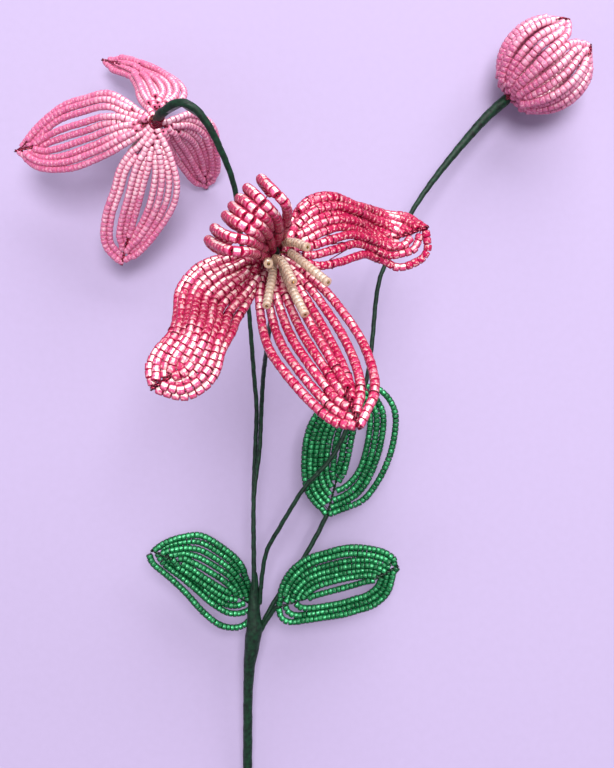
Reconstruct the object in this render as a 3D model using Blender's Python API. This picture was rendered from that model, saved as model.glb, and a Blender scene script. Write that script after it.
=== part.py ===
"""Beaded clematis spray: two four-petal flowers, a half-open bud and three leaves on taped wire stems.

The spray lies on its back. Z is up, Y runs from the cut end of the stem to the flowers, and the
origin is the bottom centre of the bounding box. Points are given in millimetres in the drawing
frame, whose Y axis stands over the spray's middle; CENTRE moves them to the part's own frame.
"""

import math

import bmesh
import bpy
from mathutils import Vector

MM = 0.001

# Driving dimensions, in millimetres.
CENTRE = Vector((-0.2, -27.5, 0.0))
PETAL_BEAD = 2.1
LEAF_BEAD = 1.5
STAMEN_BEAD = 2.4
STAMEN_WIRE = 0.6
STEM_WIRE = 0.5
TAPE_WALL = 0.15
TAPE_GAP = 0.25
STEM_RADIUS = 0.65
NECK_RADIUS = 1.75
MAIN_RADIUS = 1.45
MAIN_TOP_RADIUS = 2.2
BINDING_FACE_RADIUS = 2.6
BINDING_NECK_RADIUS = 1.45
SEAT_GAP = 0.3

# How finely the solids are faceted.
SHEET_STEPS = 10
SHEET_COLUMNS = 4
TUBE_BEVEL = 2
BINDING_SIDES = 16

# Each sheet is three rails from its base to its tip: the two edges and the centre row.
# The centre rail stops where the rows start to meet along the tip wire.
FRONT_PETALS = {
    "front_petal_lower": {
        "left": [(-9, 28, 98), (-11, 22, 105), (-10.3, 13.8, 112), (-6.9, 4.8, 119),
                 (-0.6, -2.5, 125), (10.4, -9.4, 130)],
        "centre": [(-6.5, 28.1, 98.5), (-4.9, 22.5, 105), (-2.2, 16.1, 110.5), (0.9, 10, 116.5),
                   (4, 4.7, 121.5), (7.3, 0, 126)],
        "right": [(-4.7, 29.2, 98.5), (3.2, 22.5, 106), (7.2, 16.1, 112), (11.2, 9.3, 118),
                  (14, 2.3, 125), (10.4, -9.4, 130)],
        "bulge": (0, 0, -1.2),
    },
    "front_petal_left": {
        "left": [(-10.6, 29.2, 97.5), (-12.4, 22, 101), (-16.9, 14.2, 107), (-19.2, 5.9, 111),
                 (-22, -1, 116), (-26.5, -3.6, 119), (-34, -1.4, 121)],
        "centre": [(-11.2, 30.4, 98), (-16.4, 25.6, 104.5), (-21.6, 21.5, 108.5), (-24.4, 15.5, 110),
                   (-26, 9, 114), (-27.9, 3, 119)],
        "right": [(-11.3, 31.8, 98.5), (-20, 29.6, 104), (-27.2, 26, 107.5), (-28.8, 17.5, 110),
                  (-32.3, 10, 115), (-34.6, 4, 119), (-34, -1.4, 121)],
        "bulge": (0, 0, 1.2),
    },
    "front_petal_right": {
        "left": [(-6.2, 33.9, 98), (-1.6, 42.6, 94), (6.9, 45.6, 88), (15.4, 43.7, 82),
                 (24, 41.8, 82), (31, 38, 85)],
        "centre": [(-5.3, 33, 98), (-0.7, 36.8, 95.5), (5, 38.6, 91), (11.5, 39.3, 85),
                   (17, 38.5, 82), (21.8, 36.4, 82)],
        "right": [(-4.9, 31.9, 98), (1.5, 29.6, 95), (7.4, 31, 89), (13.4, 33, 84),
                  (19.2, 29.6, 83), (26, 29.8, 84), (30.4, 33.4, 85), (31, 38, 85)],
        "bulge": (0, 0, 1.5),
    },
    "front_petal_curled": {
        "left": [(-11.2, 33.7, 98.5), (-13.2, 31.2, 109), (-15.1, 28.8, 121), (-14.6, 27.9, 134),
                 (-18.8, 30, 132.5), (-16, 36.4, 121)],
        "centre": [(-10.1, 34.8, 98.5), (-10.5, 34.4, 110), (-11.2, 33.2, 124), (-11.8, 32.4, 136),
                   (-14.8, 35.4, 135), (-16.4, 36.8, 129)],
        "right": [(-8.6, 35.4, 98.5), (-6.4, 37, 109), (-5.4, 36.8, 121), (-5.4, 35.6, 133),
                  (-9.4, 40.3, 131.5), (-16, 36.4, 121)],
        "bulge": (0, 0, 0.6),
    },
}

BACK_PETALS = {
    "back_petal_left": {
        "left": [(-48.4, 76, 36), (-56.1, 70.5, 35), (-63.3, 67.6, 32), (-72.5, 65.3, 29),
                 (-82.8, 66.7, 25), (-90.8, 72.8, 22)],
        "centre": [(-49, 78, 36.3), (-59.1, 78.4, 35), (-67.5, 77, 31), (-73.5, 76, 28.5),
                   (-79, 74.9, 26), (-84, 73.8, 24)],
        "right": [(-48.2, 80, 36.5), (-58.6, 87.9, 34), (-67.9, 87.8, 30), (-75.7, 86, 27),
                  (-83.7, 80.5, 24), (-90.8, 72.8, 22)],
        "bulge": (0, 0, 1.0),
    },
    "back_petal_lower": {
        "left": [(-47.2, 74.6, 35.5), (-56.2, 67, 31), (-59.9, 60, 26), (-63.7, 52.4, 21),
                 (-64.8, 44.3, 16), (-59.8, 38.8, 12)],
        "centre": [(-45.6, 74, 35.5), (-48.4, 66.4, 32), (-51, 60.4, 27.5), (-53.2, 55.4, 23),
                   (-55.2, 51, 19.5), (-57, 46.5, 16)],
        "right": [(-43.8, 74, 35.5), (-39.7, 64.7, 30), (-40, 57.7, 25), (-44.4, 51, 20),
                  (-51.7, 43.7, 16), (-59.8, 38.8, 12)],
        "bulge": (0, 0, 1.0),
    },
    "back_petal_right": {
        "left": [(-42.6, 75.2, 35.5), (-43.4, 73.4, 28), (-42.6, 71.2, 20), (-40.3, 68.9, 13),
                 (-37.5, 66.8, 6.2), (-33.7, 66.1, 0.5)],
        "centre": [(-41.6, 76.8, 36), (-38.4, 76.6, 30), (-35.8, 75.4, 22.5), (-34.4, 73, 15.5),
                   (-34, 70.8, 10), (-33.8, 69, 6)],
        "right": [(-41.2, 78.4, 36), (-35.4, 82.4, 32), (-29.6, 81.4, 25.5), (-28.8, 76, 17),
                  (-29.2, 70.6, 7.6), (-33.7, 66.1, 0.5)],
        "bulge": (0.8, 0, 0),
    },
    "back_petal_upper": {
        "left": [(-46.8, 81.4, 36.5), (-51.1, 86.3, 31), (-53, 91.8, 25), (-55.9, 97.3, 19),
                 (-60.9, 101.8, 13), (-66.4, 105.6, 8)],
        "centre": [(-44.8, 81.8, 36.5), (-45.1, 87.4, 32), (-47.5, 92.2, 26), (-50.6, 96.2, 21),
                   (-54.4, 99.2, 17), (-58.6, 101.8, 13)],
        "right": [(-42.8, 81.2, 36.5), (-36.7, 86.4, 32), (-38, 92.1, 26), (-44.7, 97.7, 20),
                  (-54.2, 102.7, 14), (-66.4, 105.6, 8)],
        "bulge": (0, 0.6, 0.8),
    },
}

LEAVES = {
    "left_leaf": {
        "left": [(-20, -73.8, 13.5), (-23.4, -78, 14), (-30, -76.2, 15), (-38.2, -69, 16.5),
                 (-45.8, -61.4, 17.5), (-50.6, -54.4, 18.5)],
        "centre": [(-20.1, -71.8, 14), (-25.5, -68.5, 15.5), (-31, -64.5, 16.5), (-36.5, -61, 17.5),
                   (-41, -57.8, 18), (-45, -55.6, 18.5)],
        "right": [(-20, -69.6, 14), (-21.6, -59.6, 15), (-27.8, -51.2, 16.5), (-35.7, -47.4, 17.5),
                  (-43.3, -48.7, 18.5), (-50.6, -54.4, 18.5)],
        "bulge": (0, 0, -0.8),
    },
    "right_leaf": {
        "left": [(-8, -70.8, 16.8), (-6.4, -61.8, 17.6), (-0.5, -55.6, 18.2), (11, -51.8, 19),
                 (21.5, -52.4, 20), (28.6, -57, 21)],
        "centre": [(-7.7, -72.4, 16.8), (-3.5, -69.7, 17.4), (3, -66.9, 18), (10, -64.3, 19),
                   (17, -61.8, 20), (22.4, -59.8, 20.5)],
        "right": [(-8, -74, 16.6), (-3.4, -76.4, 16.8), (6, -74.2, 17.5), (14.5, -72, 18.5),
                  (23, -66.8, 19.5), (28.6, -57, 21)],
        "bulge": (0, 0, -0.8),
    },
    "middle_leaf": {
        "left": [(5.2, -41.4, 16), (0, -34.4, 16.5), (-1.3, -23.9, 17), (0.2, -14.4, 17.5),
                 (6.5, -6.2, 18.5), (17.5, -0.6, 19)],
        "centre": [(6.4, -41.8, 16), (8.6, -33.5, 16.5), (10.6, -25.5, 17), (12, -17.5, 17.5),
                   (13.6, -11.5, 18), (15.2, -6.5, 18.5)],
        "right": [(7.8, -41.4, 16), (16.8, -38.2, 16.5), (23, -31, 17), (27.2, -21.4, 17.5),
                  (28.6, -11.2, 18.5), (17.5, -0.6, 19)],
        "bulge": (0, 0, -0.8),
    },
}

# The half-open bud: cupped petals on a ball that lies on the surface.
BUD_CENTRE = Vector((75.8, 101.8, 15.32))
BUD_BALL_RADIUS = 14.4
BUD_HEADING = math.radians(40.5)
BUD_TILT = math.radians(12.0)
BUD_PETALS = 4
BUD_HALF_WIDTH = 11.0
BUD_WIDEST_ANGLE = math.radians(42.2)
BUD_BASE_ANGLE = math.radians(14.0)
BUD_BASE_SPREAD = math.radians(36.0)
BUD_ROWS_END_ANGLE = math.radians(136.0)
BUD_TIP_ANGLE = math.radians(151.0)

# Stem routes from the cut end of each tape to its binding, and the bundle at the foot.
MAIN_ROUTE = [(-16.4, -71, 15.5), (-17.4, -84, 13.6), (-18.6, -103, 10.3), (-19.7, -127.5, 6),
              (-20.4, -150, 3), (-20.6, -172, 1.5)]
FRONT_ROUTE = [(-16.7, -70.2, 16.6), (-16.9, -56, 18), (-16.8, -36, 19), (-15, -21, 19.7),
               (-14.3, -8, 21.5), (-13.3, 3, 29.5), (-11.6, 11.5, 43), (-10, 18.5, 60),
               (-8.9, 25.5, 76), (-8.3, 29.6, 88)]
BACK_ROUTE = [(-16.9, -70.2, 14.5), (-16.9, -56, 15.8), (-17, -36, 16.8), (-16.4, -21, 18.5),
              (-15.9, -8, 19.5), (-16.6, 2, 20.5), (-18.2, 24.3, 24), (-19.8, 41, 29),
              (-21.6, 58.5, 37), (-26.2, 70.5, 44), (-30.2, 77, 47.4), (-34, 80, 48.8),
              (-37.8, 80.6, 47.7), (-41.2, 79.4, 44.6)]
BUD_ROUTE = [(-15.1, -70.2, 15.5), (-14.3, -61, 17.3), (-12.6, -52.5, 19), (-8.5, -45, 20.5),
             (-5.3, -39.5, 21.5), (-0.6, -32.2, 22.4), (7.5, -23.2, 23.2), (12.2, -14.3, 24),
             (18, -0.3, 25), (20, 12, 26), (21.6, 28.1, 26), (24.3, 37.2, 25),
             (32.4, 53.2, 22), (41.8, 66.9, 18), (55.5, 83.5, 13.6), (63.4, 91.2, 11.7)]

# Bindings: where the wires of one flower are gathered, from the stem side to the face side.
FRONT_BINDING = ((-8.2, 29.9, 89), (-7.8, 31.5, 100))
BACK_BINDING = ((-41.9, 79.2, 43.7), (-45.3, 78, 36.5))

# Stamens: each strand's place on the ring round the binding's face, in degrees, and three points
# along it: where its beads start, its middle and its outer end.
STAMEN_RING = 1.7
FRONT_STAMENS = [(35, (-5, 33, 102.5), (-2, 32.2, 107), (0.9, 30.4, 110.5)),
                 (345, (-3.6, 30.3, 103), (0.3, 27, 108.4), (5.4, 22.6, 112.6)),
                 (250, (-7.6, 28.9, 104.5), (-5, 27.5, 110), (-2.2, 22.4, 115.5)),
                 (295, (-5.9, 28.7, 101.6), (-4.4, 24.6, 107), (0.4, 15.6, 114.8)),
                 (205, (-9.6, 28.2, 101.8), (-8.5, 25, 107.5), (-8.6, 17.8, 114)),
                 (130, (-9.2, 32, 104), (-8.8, 29.8, 111), (-8.4, 26.2, 117.5))]
BACK_STAMENS = 6
BACK_STAMEN_TURN = 12
BACK_STAMEN_LENGTHS = (4.2, 10.0, 17.0)
BACK_STAMEN_SPREADS = (2.7, 3.4, 4.2)

LEAF_STALKS = {
    "left_leaf_stalk": [(-19.4, -72.3, 12.9), (-18.7, -75.4, 11.8), (-18, -80, 11.3)],
    "right_leaf_stalk": [(-8.7, -72.8, 16.4), (-11.5, -77, 15), (-14.1, -82, 13.8)],
    "middle_leaf_stalk": [(6, -42.4, 15.7), (3.6, -47.4, 15.4), (-1.4, -56.3, 15),
                          (-6.2, -63.4, 14.8), (-10.6, -70, 14.7), (-13.6, -75.4, 14.6)],
}


def at(point):
    """A drawing point in millimetres as a place in the part's own frame, in metres."""
    return (Vector(point) - CENTRE) * MM


def clear_scene():
    for leftover in list(bpy.data.objects):
        bpy.data.objects.remove(leftover, do_unlink=True)


def finish(name, colour, roughness, metallic):
    material = bpy.data.materials.new(name)
    material.use_nodes = True
    surface = material.node_tree.nodes["Principled BSDF"]
    surface.inputs["Base Color"].default_value = (*colour, 1.0)
    surface.inputs["Roughness"].default_value = roughness
    surface.inputs["Metallic"].default_value = metallic
    material.diffuse_color = (*colour, 1.0)
    return material


def add_object(name, data, material):
    piece = bpy.data.objects.new(name, data)
    bpy.context.scene.collection.objects.link(piece)
    data.materials.append(material)
    return piece


def along(points, fraction):
    """The point at a fraction of a smooth curve that passes through every given point."""
    spans = len(points) - 1
    place = min(max(fraction, 0.0), 1.0) * spans
    first = min(int(place), spans - 1)
    u = place - first
    knots = [Vector(points[min(max(first + step, 0), spans)]) for step in (-1, 0, 1, 2)]
    before, start, end, after = knots
    return 0.5 * (2 * start + (end - before) * u
                  + (2 * before - 5 * start + 4 * end - after) * u ** 2
                  + (3 * start - before - 3 * end + after) * u ** 3)


def evenly(points, spacing):
    """Points about one spacing apart along the smooth curve through the given points."""
    fine = [along(points, step / 400) for step in range(401)]
    lengths = [0.0]
    for one, other in zip(fine, fine[1:]):
        lengths.append(lengths[-1] + (other - one).length)
    count = max(2, round(lengths[-1] / spacing))
    picked = []
    index = 0
    for step in range(count + 1):
        target = lengths[-1] * step / count
        while index < len(lengths) - 1 and lengths[index] < target - 1e-9:
            index += 1
        picked.append(fine[index])
    return picked


def sheet_point(rails, fraction, across):
    """A point of a petal or leaf: across is -1 on the left edge, 0 on the centre row, 1 on the right."""
    edge = rails["right"] if across > 0 else rails["left"]
    share = abs(across)
    place = along(rails["centre"], fraction).lerp(along(edge, fraction), share)
    swell = 4 * share * (1 - share) * math.sin(math.pi * fraction)
    return place + Vector(rails["bulge"]) * swell


def beaded_sheet(name, rails, thickness, material):
    """A petal or leaf as one curved plate as thick as its beads."""
    mesh = bmesh.new()
    bmesh.ops.create_grid(mesh, x_segments=SHEET_COLUMNS, y_segments=SHEET_STEPS, size=1.0)
    for vertex in mesh.verts:
        across = vertex.co.x
        fraction = (vertex.co.y + 1) / 2
        vertex.co = at(sheet_point(rails, fraction, across))
    bmesh.ops.remove_doubles(mesh, verts=mesh.verts, dist=0.01 * MM)
    bmesh.ops.recalc_face_normals(mesh, faces=mesh.faces)
    data = bpy.data.meshes.new(name)
    mesh.to_mesh(data)
    mesh.free()
    plate = add_object(name, data, material)
    thicken = plate.modifiers.new("bead_thickness", "SOLIDIFY")
    thicken.thickness = thickness * MM
    thicken.offset = 0.0
    data.shade_smooth()
    return plate


def tube(name, points, radii, material, hollow=False):
    """A round rod along the points, or a sleeve with open ends, with its own radius at each point."""
    curve = bpy.data.curves.new(name, "CURVE")
    curve.dimensions = "3D"
    curve.bevel_depth = MM
    curve.bevel_resolution = TUBE_BEVEL
    curve.use_fill_caps = not hollow
    spline = curve.splines.new("POLY")
    spline.points.add(len(points) - 1)
    for knot, place, radius in zip(spline.points, points, radii):
        knot.co = (*at(place), 1.0)
        knot.radius = radius
    piece = add_object(name, curve, material)
    if hollow:
        wall = piece.modifiers.new("tape_wall", "SOLIDIFY")
        wall.thickness = TAPE_WALL * MM
        wall.offset = -1.0
        wall.use_even_offset = True
    return piece


def binding(name, ends, material):
    """The gathered wires under a flower: a turned cone from the stem side to the face side."""
    start, end = at(ends[0]), at(ends[1])
    axis = end - start
    cone = bmesh.new()
    bmesh.ops.create_cone(cone, cap_ends=True, segments=BINDING_SIDES,
                          radius1=BINDING_NECK_RADIUS * MM, radius2=BINDING_FACE_RADIUS * MM,
                          depth=axis.length)
    data = bpy.data.meshes.new(name)
    cone.to_mesh(data)
    cone.free()
    piece = add_object(name, data, material)
    piece.rotation_mode = "QUATERNION"
    piece.rotation_quaternion = axis.to_track_quat("Z", "Y")
    piece.location = (start + end) / 2
    return piece


def stem_radii(count, neck_share):
    """Outer radius along a stem: slim at its foot, and thicker where the flower's wires are taped in."""
    radii = []
    for step in range(count):
        rise = (step / (count - 1) - (1 - neck_share)) / neck_share
        ease = max(0.0, rise) ** 1.5
        radii.append(STEM_RADIUS + (NECK_RADIUS - STEM_RADIUS) * ease)
    return radii


def bundle_offset(turn, reach):
    angle = math.radians(turn)
    return Vector((reach * math.cos(angle), 0.0, reach * math.sin(angle)))


def taped_stem(label, route, neck_share, turn, wire_finish, tape_finish):
    """A taped stem: its sleeve ends at the bundle, and its wires run on to the cut end."""
    places = evenly(route, 7.0)
    radii = stem_radii(len(places), neck_share)
    tube(f"{label}_stem_tape", places, radii, tape_finish, hollow=True)
    foot = [Vector(point) + bundle_offset(turn, 0.62) for point in MAIN_ROUTE[1:]]
    bundle = evenly(foot, 10.0)[::-1]
    upper = [STEM_WIRE / 2] * len(places)
    for index, radius in enumerate(radii):
        upper[index] = max(STEM_WIRE / 2, radius - TAPE_WALL - TAPE_GAP)
    return tube(f"{label}_stem_wire", bundle + places, [STEM_WIRE / 2] * len(bundle) + upper, wire_finish)


def main_stem(tape_finish):
    places = evenly(MAIN_ROUTE, 7.0)
    radii = []
    for place in places:
        rise = max(0.0, (place.y - MAIN_ROUTE[2][1]) / (MAIN_ROUTE[0][1] - MAIN_ROUTE[2][1]))
        radii.append(MAIN_RADIUS + (MAIN_TOP_RADIUS - MAIN_RADIUS) * rise)
    return tube("main_stem_tape", places, radii, tape_finish, hollow=True)


def binding_frame(ends):
    """The middle of the binding's face, its axis, and two directions square to it."""
    face = Vector(ends[1])
    axis = (face - Vector(ends[0])).normalized()
    side = (Vector((1, 0, 0)) - axis * axis.x).normalized()
    return face, axis, side, axis.cross(side)


def stamen(name, ends, turn, beads, material):
    """One strand: bare wire from the binding's face to its first bead, then the string of beads."""
    face, axis, side, other = binding_frame(ends)
    angle = math.radians(turn)
    foot = face + (side * math.cos(angle) + other * math.sin(angle)) * STAMEN_RING + axis * SEAT_GAP
    start = Vector(beads[0])
    string = evenly(beads, 3.0)
    bare = [foot, foot.lerp(start, 0.75)]
    radii = [STAMEN_WIRE / 2] * len(bare) + [STAMEN_BEAD / 2] * len(string)
    tube(name, bare + string, radii, material)


def back_stamen_points(turn):
    face, axis, side, other = binding_frame(BACK_BINDING)
    angle = math.radians(turn)
    spoke = side * math.cos(angle) + other * math.sin(angle)
    return [face + axis * length + spoke * spread
            for length, spread in zip(BACK_STAMEN_LENGTHS, BACK_STAMEN_SPREADS)]


def bud_frame():
    """The bud's long axis, and the two directions square to it: sideways and up."""
    flat = Vector((math.cos(BUD_HEADING), math.sin(BUD_HEADING), 0.0))
    axis = flat * math.cos(BUD_TILT) + Vector((0, 0, math.sin(BUD_TILT)))
    sideways = Vector((math.sin(BUD_HEADING), -math.cos(BUD_HEADING), 0.0))
    return axis, sideways, sideways.cross(axis)


def bud_point(polar, azimuth):
    """A point of the bud's ball: polar 0 is at the stem, azimuth 0 faces up."""
    axis, sideways, up = bud_frame()
    spoke = up * math.cos(azimuth) + sideways * math.sin(azimuth)
    return BUD_CENTRE + BUD_BALL_RADIUS * (spoke * math.sin(polar) - axis * math.cos(polar))


def bud_rails(azimuth):
    rails = {"left": [], "centre": [], "right": [], "bulge": (0, 0, 0)}
    for step in range(6):
        fraction = step / 5
        middle = BUD_BASE_ANGLE + (BUD_ROWS_END_ANGLE - BUD_BASE_ANGLE) * fraction
        edge = BUD_BASE_ANGLE + (BUD_TIP_ANGLE - BUD_BASE_ANGLE) * fraction
        width = BUD_HALF_WIDTH * math.sin(math.pi * (0.12 + 0.88 * fraction)) ** 0.7
        widest = BUD_WIDEST_ANGLE if step else BUD_BASE_SPREAD
        spread = min(widest, width / (BUD_BALL_RADIUS * math.sin(edge)))
        if step == 5:
            spread = 0.0
        rails["centre"].append(bud_point(middle, azimuth))
        rails["left"].append(bud_point(edge, azimuth - spread))
        rails["right"].append(bud_point(edge, azimuth + spread))
    return rails


def build():
    clear_scene()
    rose = finish("rose_glass_beads", (0.62, 0.06, 0.17), 0.18, 0.0)
    pink = finish("pink_glass_beads", (0.75, 0.18, 0.28), 0.18, 0.0)
    cream = finish("cream_glass_beads", (0.72, 0.66, 0.46), 0.18, 0.0)
    green = finish("green_glass_beads", (0.03, 0.19, 0.07), 0.2, 0.0)
    tape = finish("dark_green_floral_tape", (0.02, 0.07, 0.045), 0.75, 0.0)
    wire = finish("stem_wire", (0.55, 0.55, 0.55), 0.35, 1.0)
    crimson_wire = finish("crimson_wire", (0.35, 0.01, 0.06), 0.35, 1.0)

    for name, rails in FRONT_PETALS.items():
        beaded_sheet(name, rails, PETAL_BEAD, rose)
    for name, rails in BACK_PETALS.items():
        beaded_sheet(name, rails, PETAL_BEAD, pink)
    for number in range(BUD_PETALS):
        azimuth = math.tau * (number + 0.5) / BUD_PETALS
        beaded_sheet(f"bud_petal_{number + 1}", bud_rails(azimuth), PETAL_BEAD, pink)
    for name, rails in LEAVES.items():
        beaded_sheet(name, rails, LEAF_BEAD, green)

    binding("front_binding", FRONT_BINDING, crimson_wire)
    binding("back_binding", BACK_BINDING, crimson_wire)
    axis = bud_frame()[0]
    bud_base = BUD_CENTRE - axis * BUD_BALL_RADIUS
    binding("bud_binding", (bud_base - axis * 1.6, bud_base + axis * 1.8), crimson_wire)

    for number, (turn, *beads) in enumerate(FRONT_STAMENS, start=1):
        stamen(f"front_stamen_{number}", FRONT_BINDING, turn, beads, cream)
    for number in range(BACK_STAMENS):
        turn = BACK_STAMEN_TURN + 360 * number / BACK_STAMENS
        stamen(f"back_stamen_{number + 1}", BACK_BINDING, turn, back_stamen_points(turn), cream)

    taped_stem("front", FRONT_ROUTE, 0.12, 100, wire, tape)
    taped_stem("back", BACK_ROUTE, 0.35, 220, wire, tape)
    taped_stem("bud", BUD_ROUTE, 0.3, 340, wire, tape)
    main_stem(tape)
    for name, route in LEAF_STALKS.items():
        places = evenly(route, 4.0)
        tube(name, places, [STEM_RADIUS] * len(places), tape)


build()
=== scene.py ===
"""Beaded clematis spray: two open flowers, a half-open bud and three leaves, strung from glass seed
beads on enamelled wire, row by row round a centre wire, and taped together into one stem.

Every petal and leaf is a curved sheet of rows. A row leaves the base wire, runs up the sheet and
closes on the tip wire, so the rows nest inside each other as a maker winds them. Lengths in the
tables are in millimetres in the drawing frame, and at() brings them to the part's own frame.
"""

import math
import random

import bmesh
import bpy
import numpy as np
from mathutils import Matrix, Vector


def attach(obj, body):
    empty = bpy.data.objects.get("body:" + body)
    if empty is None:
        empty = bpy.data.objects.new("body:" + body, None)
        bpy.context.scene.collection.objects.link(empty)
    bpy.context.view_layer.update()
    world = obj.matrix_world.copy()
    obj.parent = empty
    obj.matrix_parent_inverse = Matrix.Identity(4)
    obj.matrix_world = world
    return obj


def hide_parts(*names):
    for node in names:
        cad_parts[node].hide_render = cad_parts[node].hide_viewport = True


bl_info = {
    "name": "Beaded Clematis Spray",
    "version": (1, 0, 0),
    "blender": (4, 5, 0),
    "location": "View3D > Sidebar > Beadwork",
    "description": "Makes a spray of glass seed beads: two clematis flowers, a bud and leaves",
    "category": "Object",
}

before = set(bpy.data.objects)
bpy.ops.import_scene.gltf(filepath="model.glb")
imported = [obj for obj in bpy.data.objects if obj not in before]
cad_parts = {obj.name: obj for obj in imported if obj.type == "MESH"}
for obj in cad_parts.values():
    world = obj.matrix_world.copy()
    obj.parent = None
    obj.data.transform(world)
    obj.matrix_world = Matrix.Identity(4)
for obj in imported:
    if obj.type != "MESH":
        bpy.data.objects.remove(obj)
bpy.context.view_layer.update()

MM = 0.001
# Where the part's own origin lies in the drawing frame.
CENTRE = Vector((-0.2, -27.5, 0.0))
# Painted highlight and painted light: the side of each bead that faces this way is painted with a
# bright bar, and beads whose wire runs square to it are painted paler, standing for light from
# above thrown back by the silvered bores.
PAINTED_LIGHT_WAY = Vector((0.12, 0.3, 0.94)).normalized()

UV_NAME = "OFBake"
# Beads come in so many tones, from deep to pale, and each tone has a band of the map: where the
# first one starts, how far on the last one does, how wide a band is, its foot and its height.
# A bead's tone is partly drawn at random and partly painted light.
TONES = 12
BAND_START, BAND_SPAN, BAND_WIDTH, BAND_FOOT, BAND_HEIGHT = 0.01, 0.9, 0.07, 0.1, 0.8

# Each kind of bead: what it is strung into, and its width and length in mm.
BEADS = {
    "petal": ("the front petals", 2.15, 1.7),
    "fold": ("the folded petal", 2.25, 1.7),
    "back": ("the back petals", 2.08, 1.5),
    "bud": ("the bud", 2.5, 1.7),
    "straw": ("the stamens", 2.1, 1.25),
    "leaf": ("the leaves", 2.1, 1.4),
}
# The last part is the colour of the painted highlight: the bar and the glints painted in where the
# silvered bore would throw back light.
GLASS_PARTS = {"light": "glass of the palest beads", "deep": "glass of the deepest beads",
               "rim": "glass at the rims", "painted_highlight": "glass with the mirror seen through it"}
GLASS_COLOURS = {
    "rose": ("#DE6490", "#AC0E46", "#9E083A", "#FFE6DC"),
    # The back flower and the bud are strung from the same rose beads: this paler copy of their
    # glass is painted light.
    "rose_painted_pale": ("#EAB6C6", "#BA5684", "#D06A8C", "#F8D2D8"),
    "cream": ("#FFF0DE", "#FBE4CC", "#EED2B4", "#FFF8EC"),
    "green": ("#1A7440", "#074424", "#022A14", "#48A870"),
}

# Each sheet is three rails from base to tip, and the places of its rows across it: -1 is the
# left edge and 1 the right. "late_rows" are their places further up, where those differ, "middle"
# is the centre row, if it isn't the middle one, and "bulge" how the sheet swells between its
# rails. "bare" is how far up the sheet the base wire runs before the centre row starts on it,
# "turns" how long a row takes to swing out to its place and back in, "laces" the places of the
# fine wires that bind the rows side by side, and "tone" how much paler its beads are painted, or
# deeper where it is below 0, as painted light and shade for how much light the sheet catches.
FRONT_PETALS = {
    "front_petal_lower": {
        "left": [(-9, 28, 98), (-11.4, 21.7, 102.5), (-10.9, 13.4, 105.5), (-8.8, 7, 112.5),
                 (-4.6, 1.2, 120.5), (0.4, -4.2, 125), (5.5, -8.2, 128), (10.8, -9.2, 129.5)],
        "centre": [(-6.5, 28.1, 98.5), (-4.7, 22.8, 102.5), (-2.1, 17.4, 106), (0.6, 11.8, 112.5),
                   (3.5, 6.7, 119.5), (6, 2.4, 123.5), (8, -1.2, 126.5)],
        "right": [(-4.7, 29.2, 98), (3.4, 23, 103), (8.3, 17.2, 107), (12.8, 9.9, 113.5),
                  (14.9, 2.8, 121), (14.7, -2.2, 125.5), (12.5, -6.2, 128), (10.8, -9.2, 129.5)],
        "bulge": (0, 0, -1.2),
        "rows": (-0.94, -0.66, -0.4, -0.16, 0.08, 0.32, 0.6, 0.93),
        "middle": 4,
        "laces": (0.12, 0.84),
    },
    "front_petal_left": {
        "left": [(-10.6, 29.2, 97.5), (-11.4, 23.8, 101), (-13.2, 18.8, 103), (-15.3, 14.5, 107),
                 (-16.2, 11.2, 112), (-18.2, 6.7, 116.5), (-19.2, 2.2, 119), (-22.3, -1.5, 120.5),
                 (-27.1, -2.9, 121.5), (-33, -1, 121.5)],
        "centre": [(-11.2, 30.4, 98), (-13.6, 27.2, 102), (-18.9, 23.3, 107), (-22.7, 19.7, 109.5),
                   (-22.7, 15.4, 115), (-23.1, 11.8, 120), (-24.4, 8.1, 122), (-26.2, 4.8, 122.6),
                   (-28.1, 2.2, 122.3)],
        "right": [(-11.3, 31.8, 98.5), (-18, 30.4, 100.5), (-24.4, 28.4, 101.5), (-28, 25.4, 102),
                  (-30.2, 21.3, 103.5), (-29.9, 16, 108), (-30.1, 11.5, 114.5), (-32.9, 7.4, 118),
                  (-34.4, 3.2, 120), (-33, -1, 121.5)],
        "bulge": (0, 0, 1.2),
        "rows": (-0.93, -0.68, -0.45, -0.22, 0.0, 0.24, 0.48, 0.71, 0.94),
        "bare": 0.14,
        "tone": 0.06,
        "laces": (0.3, 0.72),
    },
    "front_petal_right": {
        "left": [(-6.2, 33.9, 98), (-0.7, 44.2, 92), (5.8, 46.7, 89), (12.4, 45.5, 82),
                 (17.1, 45.5, 75.5), (21.6, 44.8, 73), (26.3, 44.2, 73.5), (31, 39.9, 79)],
        "centre": [(-5.3, 33, 98), (1.7, 36.7, 96.5), (6.8, 38.9, 93.5), (10.3, 39.7, 90),
                   (13.3, 39.4, 85.5), (16, 38.7, 80.5), (21.6, 37, 78)],
        "right": [(-4.9, 31.9, 98), (1.7, 28, 96.5), (7.8, 29.1, 92.5), (12.1, 31.1, 87.5),
                  (15.2, 32.2, 83), (19.4, 31.6, 79), (24.2, 29.5, 77.5), (29.9, 31.7, 78),
                  (31.5, 35.2, 78.7), (31, 39.9, 79)],
        "bulge": (0, 0, 1.5),
        "rows": (-0.96, -0.8, -0.64, -0.48, -0.32, -0.12, 0.12, 0.38, 0.64, 0.95),
        "late_rows": (-0.96, -0.78, -0.6, -0.42, -0.24, -0.04, 0.2, 0.44, 0.66, 0.94),
        "middle": 5,
        "bare": 0.16,
        "tone": -0.25,
        "laces": (0.24, 0.6),
    },
}

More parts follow.
